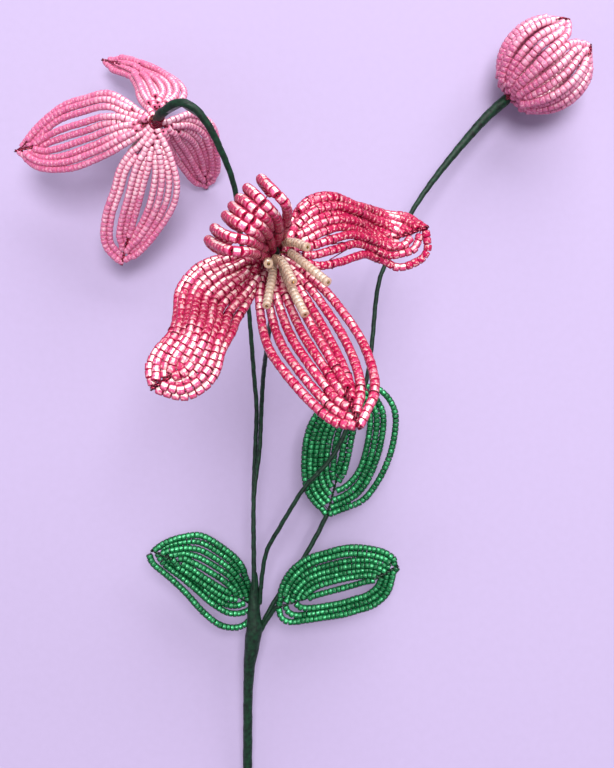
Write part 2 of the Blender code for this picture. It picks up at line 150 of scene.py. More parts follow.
# The far petal is folded back over itself, so each of its rows has a line of its own: up from the
# hub, over the fold, out to where it turns under like a finger, and home to the tip wire.
CURLED_TIP = ((-9.6, 39.8, 115.5), (-17.6, 30.6, 113.5))
CURLED_LACE = 0.35
CURLED_ROWS = [
    [(-7.5, 33.3, 100), (-5.5, 34.3, 112), (-4.2, 35.6, 123), (-4.5, 37, 130), (-6.4, 38.9, 131.5),
     (-8.6, 41.7, 128), (-9.7, 43.4, 123.5), (-9.5, 43.2, 119.5), (-8.1, 41.9, 117)],
    [(-8, 33, 100), (-6.9, 33.5, 113), (-6.5, 34.3, 124), (-7.3, 35.4, 130), (-9.3, 37.3, 131.7),
     (-11.4, 39.8, 128.5), (-12.6, 41.3, 124), (-12.1, 40.8, 119.5), (-10.8, 39.8, 117)],
    [(-8.3, 32.7, 100), (-8, 32.9, 113), (-8, 33.3, 124), (-8.7, 33.9, 130), (-10.6, 35.4, 132),
     (-12.7, 37.5, 129.5), (-14.2, 39.1, 124.5), (-13.8, 38.7, 119.5), (-12.4, 37.7, 117)],
    [(-8.6, 32.4, 100), (-8.7, 32.2, 113.5), (-8.9, 32.1, 124.5), (-9.7, 32.4, 130.3),
     (-11.9, 33.7, 132.3), (-14.2, 35.7, 129.5), (-15.7, 37.5, 124), (-15.2, 37, 119),
     (-13.8, 36.1, 116.5)],
    [(-8.9, 32.2, 100), (-9.3, 31.4, 114), (-9.8, 30.9, 125), (-10.8, 31.1, 131), (-13, 32, 132.6),
     (-15.4, 33.9, 129.5), (-17.1, 35.6, 123.5), (-16.4, 35, 118.5), (-14.9, 34.2, 116.5)],
    [(-9.2, 31.9, 100), (-9.8, 30.4, 114.5), (-10.6, 29.4, 125.5), (-12, 29.2, 131.5),
     (-14.5, 29.5, 133), (-17.3, 30.9, 129.5), (-19.6, 33, 123), (-18.9, 32.3, 118),
     (-17.2, 31.6, 115.5)],
    [(-9.5, 31.4, 100), (-10.2, 29.2, 115), (-11.2, 27.6, 126), (-12.8, 26.9, 131.8),
     (-15.3, 26.9, 133), (-18.2, 28.4, 128.5), (-20.9, 30.6, 122), (-20.2, 29.8, 117.5),
     (-18.4, 29.3, 114.5)],
]

EVEN_ROWS = (-0.9, -0.67, -0.45, -0.22, 0.0, 0.22, 0.45, 0.67, 0.9)
BACK_PETALS = {
    "back_petal_left": {
        "left": [(-48.4, 76, 36), (-56.1, 70.5, 35), (-63.3, 67.6, 32), (-72.5, 65.3, 29),
                 (-82.8, 66.7, 25), (-90.8, 72.8, 22)],
        "centre": [(-49, 78, 36.3), (-59.1, 78.4, 35), (-67.5, 77, 31), (-73.5, 76, 28.5),
                   (-79, 74.9, 26), (-83, 74, 24.5)],
        "right": [(-48.2, 80, 36.5), (-58.6, 87.9, 34), (-67.9, 87.8, 30), (-75.7, 86, 27),
                  (-83.7, 80.5, 24), (-90.8, 72.8, 22)],
        "bulge": (0, 0, 1.0),
        "rows": (-0.94, -0.74, -0.54, -0.3, 0.0, 0.22, 0.54, 0.74, 0.94),
        "tone": -0.42,
    },
    "back_petal_lower": {
        "left": [(-47.2, 74.6, 35.5), (-56.2, 67, 31), (-59.9, 60, 26), (-63.7, 52.4, 21),
                 (-64.8, 44.3, 16), (-59.8, 38.8, 12)],
        "centre": [(-45.6, 74, 35.5), (-48.4, 66.4, 32), (-51, 60.4, 27.5), (-53.2, 55.4, 23),
                   (-55.2, 51, 19.5), (-56.8, 47, 16.5)],
        "right": [(-43.8, 74, 35.5), (-39.7, 64.7, 30), (-40, 57.7, 25), (-44.4, 51, 20),
                  (-51.7, 43.7, 16), (-59.8, 38.8, 12)],
        "bulge": (0, 0, 1.0),
        "rows": (-0.94, -0.74, -0.36, -0.16, 0.04, 0.34, 0.54, 0.74, 0.94),
        "tone": 0.1,
    },
    "back_petal_right": {
        "left": [(-42.6, 75.2, 35.5), (-43.4, 73.4, 28), (-42.6, 71.2, 20), (-40.3, 68.9, 13),
                 (-37.5, 66.8, 6.2), (-33.7, 66.1, 0.5)],
        "centre": [(-41.6, 76.8, 36), (-38.4, 76.6, 30), (-35.8, 75.4, 22.5), (-34.4, 73, 15.5),
                   (-34, 70.8, 10), (-33.8, 69, 6)],
        "right": [(-41.2, 78.4, 36), (-35.4, 82.4, 32), (-29.6, 81.4, 25.5), (-28.8, 76, 17),
                  (-29.2, 70.6, 7.6), (-33.7, 66.1, 0.5)],
        "bulge": (0.8, 0, 0),
        "rows": EVEN_ROWS,
    },
    "back_petal_upper": {
        "left": [(-46.8, 81.4, 36.5), (-51.1, 86.3, 31), (-53, 91.8, 25), (-56.2, 97.3, 19),
                 (-62.6, 101.6, 12), (-66.4, 105.6, 8)],
        "centre": [(-44.8, 81.8, 36.5), (-45.1, 87.4, 32), (-47.5, 92.2, 26), (-50.6, 96.2, 21),
                   (-54.4, 99.2, 17), (-58.6, 101.8, 13)],
        "right": [(-42.8, 81.2, 36.5), (-36.7, 86.4, 32), (-38, 92.1, 26), (-45.2, 98.2, 20),
                  (-57.6, 104.9, 12.5), (-66.4, 105.6, 8)],
        "bulge": (0, 0.6, 0.8),
        "rows": EVEN_ROWS,
    },
}

LEAF_SHEET = {"bulge": (0, 0, -0.8), "bare": 0.27, "turns": (0.2, 0.15)}
LEAVES = {
    "left_leaf": {
        "left": [(-16, -74, 11.3), (-20, -78.4, 12.3), (-27, -78, 14.3), (-33, -73.4, 15.5),
                 (-39, -66.4, 16.5), (-44.2, -61.2, 17.5), (-48.9, -57, 18.3), (-49.9, -54.3, 18.5),
                 (-49.1, -52.5, 18.5)],
        "centre": [(-16, -72.4, 11.5), (-21, -69.2, 13), (-26.5, -66, 15), (-32, -62.5, 16.5),
                   (-37, -59, 17.5), (-41, -56.2, 18.3)],
        "right": [(-16, -71, 11.5), (-18.5, -65, 12.8), (-21.7, -56.6, 15), (-27.2, -51.3, 16.3),
                  (-33.5, -47.6, 17.3), (-39.1, -48, 18), (-45, -50.2, 18.4), (-49.1, -52.5, 18.5)],
        **LEAF_SHEET,
        "rows": (-0.97, -0.56, -0.38, -0.2, -0.02, 0.22, 0.41, 0.6, 0.78, 0.96),
        "middle": 4,
    },
    "right_leaf": {
        "left": [(-9.2, -70.4, 16.8), (-8, -64.3, 17.3), (-4, -58.4, 17.8), (0.4, -54.9, 18.2),
                 (5.8, -53, 18.8), (12.4, -51.3, 19.3), (18.6, -51.4, 20), (23.9, -52.7, 20.5),
                 (27, -54.5, 20.9), (28.5, -57.1, 21)],
        "centre": [(-9.2, -70.9, 16.8), (-4.5, -69.5, 17.2), (1, -67.6, 17.9), (6.5, -65.9, 18.6),
                   (12, -64.3, 19.3), (17.5, -62.6, 20), (21, -61.3, 20.4)],
        "right": [(-9.4, -71.4, 16.8), (-8.8, -75, 17), (-5.4, -76.2, 17.2), (0, -75.4, 17.6),
                  (6, -74.4, 18), (12.5, -73.3, 18.5), (17, -71.8, 19), (21.4, -70.3, 19.5),
                  (24.9, -67, 20), (26.6, -63.4, 20.4), (27.2, -60, 20.8), (28.5, -57.1, 21)],
        **LEAF_SHEET,
        "rows": (-0.96, -0.82, -0.62, -0.49, -0.36, -0.23, 0.0, 0.53, 0.73, 0.93),
        "middle": 6,
    },
    "middle_leaf": {
        "left": [(5.2, -41.4, 16), (0, -34.4, 16.5), (-1.3, -23.9, 17), (0.2, -14.4, 17.5),
                 (5, -6.8, 18.3), (10.5, -2, 18.8), (15.5, 0.2, 19)],
        "centre": [(6.4, -41.8, 16), (8.6, -33.5, 16.5), (10.6, -25.5, 17), (12, -17.5, 17.5),
                   (13.2, -12.5, 18), (14, -9.2, 18.4)],
        "right": [(7.8, -41.4, 16), (16.8, -38.2, 16.5), (23, -31, 17), (27.2, -21.4, 17.5),
                  (28.6, -11.2, 18.5), (26.8, -5.2, 18.8), (22.2, -1, 19), (15.5, 0.2, 19)],
        **LEAF_SHEET,
        "rows": (-0.95, -0.81, -0.67, -0.53, -0.39, -0.2, 0.0, 0.13, 0.47, 0.6, 0.73, 0.97),
        "middle": 6,
    },
}

# The bud's petals cover a ball on the end of its stem. Angles over the ball start at the stem,
# and angles round it are half a petal's width.
BUD_CENTRE = Vector((75.9, 101.8, 15.7))
BUD_BALL_RADIUS = 14.4
BUD_HEADING = math.radians(40.5)
BUD_TILT = math.radians(12.0)
BUD_PETALS = 4
BUD_HALF_WIDTH = 11.0
BUD_WIDEST_ANGLE = math.radians(44.5)
BUD_BASE_ANGLE = math.radians(14.0)
BUD_BASE_SPREAD = math.radians(36.0)
BUD_ROWS_END_ANGLE = math.radians(136.0)
BUD_TIP_ANGLE = math.radians(151.0)
BUD_ROWS = (-0.95, -0.64, -0.32, 0.0, 0.32, 0.64, 0.95)
BUD_BARE = 0.05
BUD_STEPS = 5
# A bud petal's outline: how far into half a wave it starts, and the power that makes it fuller.
BUD_OUTLINE, BUD_FULLNESS = 0.12, 0.45
# How far the bud's gathered wires reach below and above the foot of its ball, in mm.
BUD_BINDING = (1.6, 1.8)

# The main stem's route, down to its cut end, and its radius at each point. The flowers' stems go
# up from the foot of their tape.
MAIN_ROUTE = [(-16.6, -60, 16.9, 0.7), (-16.7, -64, 16.4, 1.25), (-17, -70, 15.7, 1.75),
              (-16.9, -74.5, 15, 2.2), (-16.8, -78, 14.5, 2.6), (-17.4, -82, 13.8, 2.5),
              (-18, -86.5, 13.1, 2.2), (-18.6, -91, 12.3, 1.85), (-18.9, -96, 11.4, 1.65),
              (-19.2, -103, 10.3, 1.5), (-19.6, -127.5, 6, 1.5), (-20.4, -150, 3, 1.46),
              (-20.6, -172, 1.5, 1.45)]
FRONT_ROUTE = [(-16.7, -70.2, 16.6), (-16.9, -56, 18), (-16.8, -36, 19), (-15, -21, 19.7),
               (-14.3, -8, 21.5), (-13.3, 3, 29.5), (-11.6, 11.5, 43), (-10, 18.5, 60),
               (-8.9, 25.5, 76), (-8.3, 29.6, 88)]
BACK_ROUTE = [(-16.9, -70.2, 14.5), (-16.9, -56, 15.8), (-17, -36, 16.8), (-16.4, -21, 18.5),
              (-15.9, -8, 19.5), (-16.6, 2, 20.5), (-18.2, 24.3, 24), (-19.8, 41, 29),
              (-21.6, 58.5, 37), (-26.2, 70.5, 44), (-30.2, 77, 47.4), (-34, 80, 48.8),
              (-37.8, 80.6, 47.7), (-41.2, 79.4, 44.6)]
BUD_ROUTE = [(-15.1, -70.2, 15.5), (-14.3, -61, 17.3), (-12.6, -52.5, 19), (-8.5, -45, 20.5),
             (-5.3, -39.5, 21.5), (-0.6, -32.2, 22.4), (7.5, -23.2, 23.2), (12.2, -14.3, 24),
             (18, -0.3, 25), (20, 12, 26), (21.6, 28.1, 26), (24.3, 37.2, 25),
             (32.4, 53.2, 22), (41.8, 66.9, 18), (55.5, 83.5, 13.6), (63.4, 91.2, 11.7)]
# The tape runs on over the gathered wires, and narrows there on the back and bud stems.
FRONT_NECK = [(-8.0, 30.6, 93.5, 1.1), (-7.75, 31.6, 100.8, 1.2)]
BACK_NECK = [(-43.2, 78.9, 41.8, 1.5), (-45.0, 78.2, 38.6, 0.9)]
BUD_NECK = [(64.5, 92.1, 12.1, 1.6), (65.4, 92.9, 12.5, 0.9)]
# Each stem's route, the share of it that thickens, its radius then, and the neck that follows.
STEMS = {
    "front": (FRONT_ROUTE, 0.12, 1.2, FRONT_NECK),
    "back": (BACK_ROUTE, 0.3, 1.35, BACK_NECK),
    "bud": (BUD_ROUTE, 0.3, 1.75, BUD_NECK),
}
NECK_CURVE = 1.2
# The main stem's tape rises more in a turn than the others', and is drawn with more sides.
MAIN_LAP, MAIN_SIDES = 1.6, 20
LEAF_STALKS = {
    "left_leaf_stalk": [(-16, -72.4, 11.6), (-16.3, -74.5, 11.9), (-16.9, -78, 12.3),
                        (-17.8, -84, 12), (-18.2, -92, 11)],
    "right_leaf_stalk": [(-8.6, -70.8, 16.8), (-10, -71.4, 16.1), (-12.3, -74.6, 15.2),
                         (-14.6, -78.6, 14.4), (-16.4, -83, 13.7), (-18.4, -96, 11.5)],
    "middle_leaf_stalk": [(6.4, -41.6, 15.9), (6, -42.4, 15.7), (3.6, -47.4, 15.4),
                          (-1.4, -56.3, 15), (-6.2, -63.4, 14.8), (-10.6, -70, 14.7),
                          (-14.2, -77, 14.4), (-16.4, -85, 13.3), (-18.0, -92, 12.2)],
}

# Where each flower's wires are gathered: from the stem side to the face side.
FRONT_BINDING = ((-8.2, 29.9, 89), (-7.8, 31.5, 100))
BACK_BINDING = ((-41.9, 79.2, 43.7), (-45.3, 78, 36.5))
# The share of the way from the binding's face to a rail at which the rail is made to start.
HUB_START = 0.45

# Stamen strands: place on the ring round the binding's face, in degrees, then start, middle, end.
STAMEN_RING = 1.7
FRONT_STAMENS = [(35, (-5, 33, 102.5), (-2.6, 32.2, 107), (-0.2, 30.8, 110.5)),
                 (345, (-3.6, 30.3, 103), (-0.2, 27, 108.4), (4.4, 22.8, 112.6)),
                 (250, (-7.2, 28.9, 104.5), (-5.4, 27.2, 110), (-3.2, 22.6, 115.5)),
                 (295, (-6.0, 28.7, 101.6), (-4.6, 24.2, 107), (-0.6, 15.6, 114.8)),
                 (205, (-8.0, 27.6, 102.4), (-8.0, 24, 107.5), (-8.9, 17.6, 113.5)),
                 (150, (-8.9, 28.2, 103.6), (-8.8, 27.4, 110), (-8.4, 26.2, 117.5))]
# The back flower's strands are all alike: how many there are, the first one's place on the ring,
# and how high over the face and how far out from its middle each of their points lies.
BACK_STAMENS = 6
BACK_STAMEN_TURN = 12
BACK_STAMEN_LINE = ((4.2, 2.7), (10.0, 3.4), (17.0, 4.2))

# The studio, in metres: half the board's width, and each lamp's place, what it points at and its
# size, with its power in watts.
BOARD = 3.0
LAMPS = {
    "window": ((0.5, 1.3, 0.9), (0, 0, 0.05), (1.6, 1.0), 28),
    "overhead": ((0.1, 0.35, 1.5), (0, 0, 0), (0.6, 0.6), 24),
    "fill": ((-1.2, -0.4, 1.0), (0, 0, 0), (1.2, 1.2), 3),
}
SKY, SKY_STRENGTH = "#E7DDF0", 0.5
# The camera, in mm: its height over the drawing frame's origin, and its lens and sensor.
EYE_HEIGHT, LENS, SENSOR = 335.0, 46.875, 36


# ---------------------------------------------------------------- lines

CURVE_STEPS = 400
TINY = 1e-9


def at(point):
    """A drawing point in millimetres as a place in the part's own frame, in metres."""
    return (Vector(point) - CENTRE) * MM


def clamped(value, low=0.0, high=1.0):
    return min(high, max(low, value))


def along(points, fraction):
    """The point at a fraction of a smooth curve that passes through every given point."""
    spans = len(points) - 1
    place = clamped(fraction) * spans
    first = min(int(place), spans - 1)
    u = place - first
    before, start, end, after = (Vector(points[clamped(first + step, 0, spans)])
                                 for step in (-1, 0, 1, 2))
    return 0.5 * (2 * start + (end - before) * u
                  + (2 * before - 5 * start + 4 * end - after) * u ** 2
                  + (3 * start - before - 3 * end + after) * u ** 3)


def run_lengths(points):
    """How far along a line each of its points lies."""
    lengths = [0.0]
    for one, other in zip(points, points[1:]):
        lengths.append(lengths[-1] + (Vector(other) - Vector(one)).length)
    return lengths


def by_length(fine, spacing):
    """Points one spacing apart along a finely stepped line, stretched a little to reach its end."""
    lengths = run_lengths(fine)
    count = max(2, round(lengths[-1] / spacing))
    picked = []
    index = 0
    for step in range(count + 1):
        target = lengths[-1] * step / count
        while index < len(lengths) - 2 and lengths[index + 1] < target:
            index += 1
        span = max(lengths[index + 1] - lengths[index], TINY)
        picked.append(fine[index].lerp(fine[index + 1], (target - lengths[index]) / span))
    return picked


def evenly(points, spacing):
    """Points one spacing apart along a smooth curve that passes through every given point."""
    fine = [along(points, step / CURVE_STEPS) for step in range(CURVE_STEPS + 1)]
    return by_length(fine, spacing)


def trimmed(line, margin):
    """The line without this length of it at either end."""
    for _ in range(2):
        left = margin
        while len(line) > 3 and left > 0:
            left -= (line[1] - line[0]).length
            line = line[1:]
        line = line[::-1]
    return line


def heading_at(line, index):
    """Which way a line runs at one of its points, from the one before it to the one after."""
    return line[min(index + 1, len(line) - 1)] - line[max(index - 1, 0)]


def spoke(side, other, angle):
    """The direction at an angle from one side, turned towards the other."""
    return side * math.cos(angle) + other * math.sin(angle)


def square_to(way, heading):
    """The part of a direction that is square to a heading, one unit long."""
    return (way - heading * way.dot(heading) / heading.length_squared).normalized()


def coil(centre, axis, radius, turns, rise, steps=8):
    """Points of a wire wound round an axis, with so many steps to a turn."""
    axis = axis.normalized()
    side = axis.orthogonal().normalized()
    other = axis.cross(side)
    count = max(2, round(turns * steps))
    line = []
    for step in range(count + 1):
        angle = math.tau * turns * step / count
        line.append(centre + axis * rise * (step / count - 0.5)
                    + spoke(side, other, angle) * radius)
    return line


# ---------------------------------------------------------------- rows of beads

ROW_STEPS = 160
# How far up a sheet its rows start to move to "late_rows", and over how much of it they do.
LATE_START, LATE_REACH = 0.4, 0.25
# In mm: how far rows lie by turns above and below their sheet, and the centre row's end gaps.
RIPPLE, CENTRE_MARGIN = 0.2, 0.4
# The room in bead widths that a row's end beads need beside rows further out, and the share of
# the row that stays without it.
END_ROOM, FEWEST = 0.55, 0.5
# The sharpest bends at the ends of outer rows and of the centre row, in radians.
OUTER_BEND, CENTRE_BEND = 0.7, 0.3
# In each round rows are pushed apart by a share of their overlap and drawn back by a share of
# their way home, while their beads stay between a least and a most number of pitches apart.
PUSH, HOMING, TIGHTEST, SLACKEST = 0.4, 0.1, 0.98, 1.1
# How close rows come, in bead widths, and the rounds: in a sheet, and in the folded petal.
SHEET_SETTLING, FOLD_SETTLING = (0.94, 16), (0.92, 10)


def sheet_point(rails, fraction, across):
    """A point of a sheet: across is -1 on the left edge, 0 on the centre row, 1 on the right."""
    edge = rails["right"] if across > 0 else rails["left"]
    share = abs(across)
    place = along(rails["centre"], fraction).lerp(along(edge, fraction), share)
    swell = 4 * share * (1 - share) * math.sin(math.pi * fraction)
    return place + Vector(rails["bulge"]) * swell


def sheet_normal(rails, fraction, across):
    """Which way a sheet faces at a point."""
    reach = 0.04
    low, high = max(0.0, fraction - reach), min(1.0, fraction + reach)
    down = sheet_point(rails, high, across) - sheet_point(rails, low, across)
    sideways = (sheet_point(rails, fraction, min(1, across + reach))
                - sheet_point(rails, fraction, max(-1, across - reach)))
    normal = sideways.cross(down)
    return normal.normalized() if normal.length > TINY else Vector((0, 0, 1))


def row_rank(rails, number):
    """How far out a row is: 0 for the centre row, 1 for the last on the right, -1 on the left."""
    middle = rails.get("middle", (len(rails["rows"]) - 1) // 2)
    if number < middle:
        return (number - middle) / middle
    return (number - middle) / (len(rails["rows"]) - 1 - middle)


def rounded(way):
    """Rises from 0 to 1 like the side of a quarter circle."""
    left = 1 - clamped(way)
    return math.sqrt(max(0.0, 1 - left * left))


def row_line(rails, number):
    """The fine line of one row: it leaves the base wire, and comes home to the tip wire.

    The centre row is the shortest, and each row further out starts nearer the base and ends
    nearer the tip, so that the rows nest inside each other.
    """
    inward = 1 - abs(row_rank(rails, number))
    start = rails["bare"] * inward
    end = 1 - rails["crown"] * inward
    lift = RIPPLE if number % 2 else -RIPPLE
    line = []
    for step in range(ROW_STEPS + 1):
        fraction = start + (end - start) * step / ROW_STEPS
        late = clamped((fraction - LATE_START) / LATE_REACH)
        across = rails["rows"][number] * (1 - late) + rails["late_rows"][number] * late
        across *= (rounded((fraction - start) / rails["turns"][0])
                   * rounded((end - fraction) / rails["turns"][1]))
        line.append(sheet_point(rails, fraction, across)
                    + sheet_normal(rails, fraction, across) * lift)
    return line


def sheet_strings(rails, kit):
    """The places of the beads, row by row."""
    strings = []
    for number in range(len(rails["rows"])):
        margin = kit["gap"] * kit["width"] if row_rank(rails, number) else CENTRE_MARGIN
        strings.append(by_length(trimmed(row_line(rails, number), margin), kit["pitch"]))
    return strings


def thinned(rails, strings, clearance):
    """The rows without the beads at their ends that have no room beside the rows further out."""
    kept = []
    for number in sorted(range(len(strings)), key=lambda row: -abs(row_rank(rails, row))):
        string = list(strings[number])
        fewest = max(3, round(FEWEST * len(string)))
        for _ in range(2):
            while len(string) > fewest and any((string[0] - other).length < clearance
                                               for other in kept):
                string = string[1:]
            string = string[::-1]
        strings[number] = string
        kept += string
    return strings


def settled(strings, kit, closeness, rounds):
    """Crowded rows pushed apart by each other, as beads on wires are, and each still strung."""
    clearance, pitch = kit["width"] * closeness, kit["pitch"] * TIGHTEST
    place = np.array([tuple(point) for string in strings for point in string])
    owner = np.concatenate([[number] * len(string) for number, string in enumerate(strings)])
    home = place.copy()
    other_row = owner[:, None] != owner[None]
    chained = owner[1:] == owner[:-1]
    for _ in range(rounds):
        apart = place[:, None] - place[None]
        distance = np.maximum(np.linalg.norm(apart, axis=2), TINY)
        close = np.where(other_row & (distance < clearance), clearance - distance, 0.0)
        place = place + PUSH * (apart * (close / distance)[:, :, None]).sum(1)
        for parity in (0, 1):
            link = np.nonzero(chained & (np.arange(len(chained)) % 2 == parity))[0]
            step = place[link + 1] - place[link]
            length = np.maximum(np.linalg.norm(step, axis=1), TINY)
            wanted = np.clip(length, pitch, pitch * SLACKEST)
            shift = step * ((length - wanted) / length / 2)[:, None]
            place[link] += shift
            place[link + 1] -= shift
        place += (home - place) * HOMING
    ends = np.cumsum([len(string) for string in strings])[:-1]
    return [[Vector(point) for point in part] for part in np.split(place, ends)]


def unkinked(string, bend):
    """The row without end beads that were pushed out of its line by more than a bend."""
    for _ in range(2):
        while len(string) > 4 and (string[0] - string[1]).angle(string[1] - string[2]) > bend:
            string = string[1:]
        string = string[::-1]
    return string


# ---------------------------------------------------------------- meshes and curves

# Painted light: how much paler a bead is painted where its wire runs square to the painted light's
# way, and how far into a row the painted fade of "pale" turns round.
PAINTED_LIGHT_GAIN, PALE_TURN = 0.62, 0.45
# How unlike each other beads are: in tone, in how they lean and roll on the wire in radians, and
# in width and length.
TONE_SPREAD, LEAN, ROLL, WIDTH_SPREAD, LENGTH_SPREAD = 0.15, 0.05, 0.12, 0.02, 0.04


def mesh_of(name, build):
    """The mesh that a bmesh was built for. The bmesh is freed."""
    data = bpy.data.meshes.new(name)
    build.to_mesh(data)
    build.free()
    return data


def bead_shapes(label, width, length, hole, sides):
    """Templates of one seed bead, a short thick tube with softened rims, one for each tone.

    Its map holds the way along the bead upwards, and across it one band for each tone, which the
    way round the bead fills, with the side that is turned to the painted light in its middle, where
    the painted highlight is drawn. The hole's wall has the second material, the silver lining.
    """
    radius = width / 2 * MM
    half = length / 2 * MM
    bore = hole / 2 * MM
    shoulder, rim, lip, wall = 0.76, 0.84, 0.94, 1.2
    upper = [(radius, half * shoulder), (radius * rim, half), (bore, half * lip)]
    profile = [(x, -z) for x, z in upper[::-1]] + upper
    shapes = []
    for tone in range(TONES):
        bead = bmesh.new()
        outline = [bead.verts.new((x, 0, z)) for x, z in profile]
        edges = [bead.edges.new(pair) for pair in zip(outline, outline[1:] + outline[:1])]
        bmesh.ops.spin(bead, geom=outline + edges, axis=(0, 0, 1), cent=(0, 0, 0), dvec=(0, 0, 0),
                       angle=math.tau, steps=sides, use_merge=True, use_normal_flip=False,
                       use_duplicate=False)
        bmesh.ops.remove_doubles(bead, verts=bead.verts, dist=0.001 * MM)
        bmesh.ops.recalc_face_normals(bead, faces=bead.faces)
        layer = bead.loops.layers.uv.new(UV_NAME)
        for face in bead.faces:
            face.smooth = True
            middle = face.calc_center_median()
            lined = all(math.hypot(v.co.x, v.co.y) < bore * wall for v in face.verts)
            face.material_index = 1 if lined else 0
            turn = math.atan2(middle.y, middle.x) / math.tau
            for loop in face.loops:
                place = loop.vert.co
                here = math.atan2(place.y, place.x) / math.tau
                here -= round(here - turn)
                band = BAND_START + BAND_SPAN * tone / (TONES - 1)
                loop[layer].uv = (band + BAND_WIDTH * (here + 0.5),
                                  BAND_FOOT + BAND_HEIGHT * (place.z / half * 0.5 + 0.5))
        for edge in bead.edges:
            edge.smooth = len({face.material_index for face in edge.link_faces}) == 1
        shapes.append(mesh_of(f"{label}_{tone}", bead))
    return shapes


def new_piece(name, data, materials, nodes=()):
    """Links a finished mesh or curve, and ties it to the part."""
    if not (data.vertices if isinstance(data, bpy.types.Mesh) else data.splines):
        raise ValueError(f"{name} came out empty")
    piece = bpy.data.objects.new(name, data)
    bpy.context.scene.collection.objects.link(piece)
    for material in materials:
        data.materials.append(material)
    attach(piece, "root")
    if nodes:
        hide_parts(*nodes)


def strung_beads(node, strings, kit, chance):
    """One mesh of all the beads of a petal, leaf or strand, each turned along its wire."""
    beads = bmesh.new()
    for string in strings:
        for index, place in enumerate(string):
            heading = heading_at(string, index).normalized()
            # Painted light: each bead is rolled so that the middle of its band, where the painted
            # highlight is drawn, faces the painted light's way, and its tone is raised where its
            # wire runs square to that way; "pale" adds a painted fade along the row.
            side = (PAINTED_LIGHT_WAY - heading * heading.dot(PAINTED_LIGHT_WAY)).normalized()
            turn = Matrix((side, heading.cross(side), heading)).transposed().to_4x4()
            painted_highlight = math.exp(-(heading.dot(PAINTED_LIGHT_WAY) / kit["spread"]) ** 2)
            pale = kit["pale"] * clamped(2 * (PALE_TURN - index / len(string)), -0.5, 0.5)
            tone = clamped(chance.gauss(kit["tone"] + PAINTED_LIGHT_GAIN * painted_highlight + pale, TONE_SPREAD))
            tilt = (Matrix.Rotation(chance.gauss(0, LEAN), 4, "X")
                    @ Matrix.Rotation(chance.gauss(0, LEAN), 4, "Y")
                    @ Matrix.Rotation(chance.gauss(0, ROLL), 4, "Z"))
            width, length = chance.gauss(1, WIDTH_SPREAD), chance.gauss(1, LENGTH_SPREAD)
            scale = Matrix.Diagonal((width, width, length, 1))
            shape = kit["shapes"][round(tone * (TONES - 1))].copy()
            shape.transform(Matrix.Translation(at(place)) @ turn @ tilt @ scale)
            beads.from_mesh(shape)
            bpy.data.meshes.remove(shape)
    name = f"{node}_beads"
    new_piece(name, mesh_of(name, beads), kit["materials"], [node])


def wires(name, lines, metal, nodes=()):
    """One curve object of round wires, from pairs of a radius and the points of a line."""
    curve = bpy.data.curves.new(name, "CURVE")
    curve.dimensions = "3D"
    curve.bevel_depth = MM
    curve.bevel_resolution = 1
    curve.use_fill_caps = True
    for radius, line in lines:
        spline = curve.splines.new("POLY")
        spline.points.add(len(line) - 1)
        for knot, place in zip(spline.points, line):
            knot.co = (*at(place), 1.0)
            knot.radius = radius
    new_piece(name, curve, [finish(metal)], nodes)


def taped(name, route, node, lap, sides=14):
    """A stem wrapped in tape: each turn of the tape laps over the last in a low spiral step.

    Each point of the route has a fourth number, the stem's radius there. A lap rises from its
    fold over a part of a turn, its lip, and then falls.
    """
    spacing, fold, rise, lip, half_map = 0.5, 0.04, 0.13, 0.15, 0.48
    line = evenly(route, spacing)
    radii = [point[3] for point in line]
    line = [point.to_3d() for point in line]
    sleeve = bmesh.new()
    angle_of = sleeve.verts.layers.float.new("angle")
    layer = sleeve.loops.layers.uv.new(UV_NAME)
    ring = bmesh.ops.create_circle(sleeve, segments=sides, radius=1.0, cap_ends=False)["verts"]
    for vertex in ring:
        vertex[angle_of] = math.atan2(vertex.co.y, vertex.co.x)
    rings = [list(ring)]
    for _ in line[1:]:
        edges = [edge for edge in {e for v in rings[-1] for e in v.link_edges}
                 if edge.verts[0] in rings[-1] and edge.verts[1] in rings[-1]]
        made = bmesh.ops.extrude_edge_only(sleeve, edges=edges)["geom"]
        rings.append([item for item in made if isinstance(item, bmesh.types.BMVert)])
    lengths = run_lengths(line)
    heading = line[1] - line[0]
    turned = Vector((0, 0, 1)).rotation_difference(heading)
    way = {}
    for index, verts in enumerate(rings):
        onward = heading_at(line, index)
        turned = heading.rotation_difference(onward) @ turned
        heading = onward
        for vertex in verts:
            angle = vertex[angle_of]
            phase = (lengths[index] / lap - angle / math.tau) % 1.0
            height = min(1.0, phase / lip) * (1 - phase)
            out = turned @ Vector((math.cos(angle), math.sin(angle), 0))
            vertex.co = at(line[index] + out * (radii[index] - fold + rise * height))
            way[vertex] = index / (len(line) - 1)
    for face in sleeve.faces:
        face.smooth = True
        around = [loop.vert[angle_of] for loop in face.loops]
        for loop, angle in zip(face.loops, around):
            angle -= math.tau * round((angle - around[0]) / math.tau)
            loop[layer].uv = (angle / math.tau * half_map + 0.5, way[loop.vert])
    bmesh.ops.holes_fill(sleeve, edges=[e for e in sleeve.edges if e.is_boundary], sides=0)
    bmesh.ops.recalc_face_normals(sleeve, faces=sleeve.faces)
    new_piece(name, mesh_of(name, sleeve), [finish("tape")], [node])


# ---------------------------------------------------------------- finishes


def add_node(tree, kind, inputs=None, **settings):
    """Adds a shader node with its settings. Each socket gets a value, or a link from another
    socket or from a node, whose first output in use is taken."""
    made = tree.nodes.new(f"ShaderNode{kind}")
    for name, value in settings.items():
        setattr(made, name, value)
    for socket, value in (inputs or {}).items():
        if isinstance(value, bpy.types.Node):
            value = next(output for output in value.outputs if output.enabled)
        if isinstance(value, bpy.types.NodeSocket):
            tree.links.new(value, made.inputs[socket])
        else:
            made.inputs[socket].default_value = value
    return made


def new_material(name, constants):
    """A named material with its shader's constants set: the material, its node tree, the shader."""
    material = bpy.data.materials.new(name)
    material.use_nodes = True
    tree = material.node_tree
    surface = tree.nodes["Principled BSDF"]
    for socket, value in constants.items():
        surface.inputs[socket].default_value = value
    return material, tree, surface


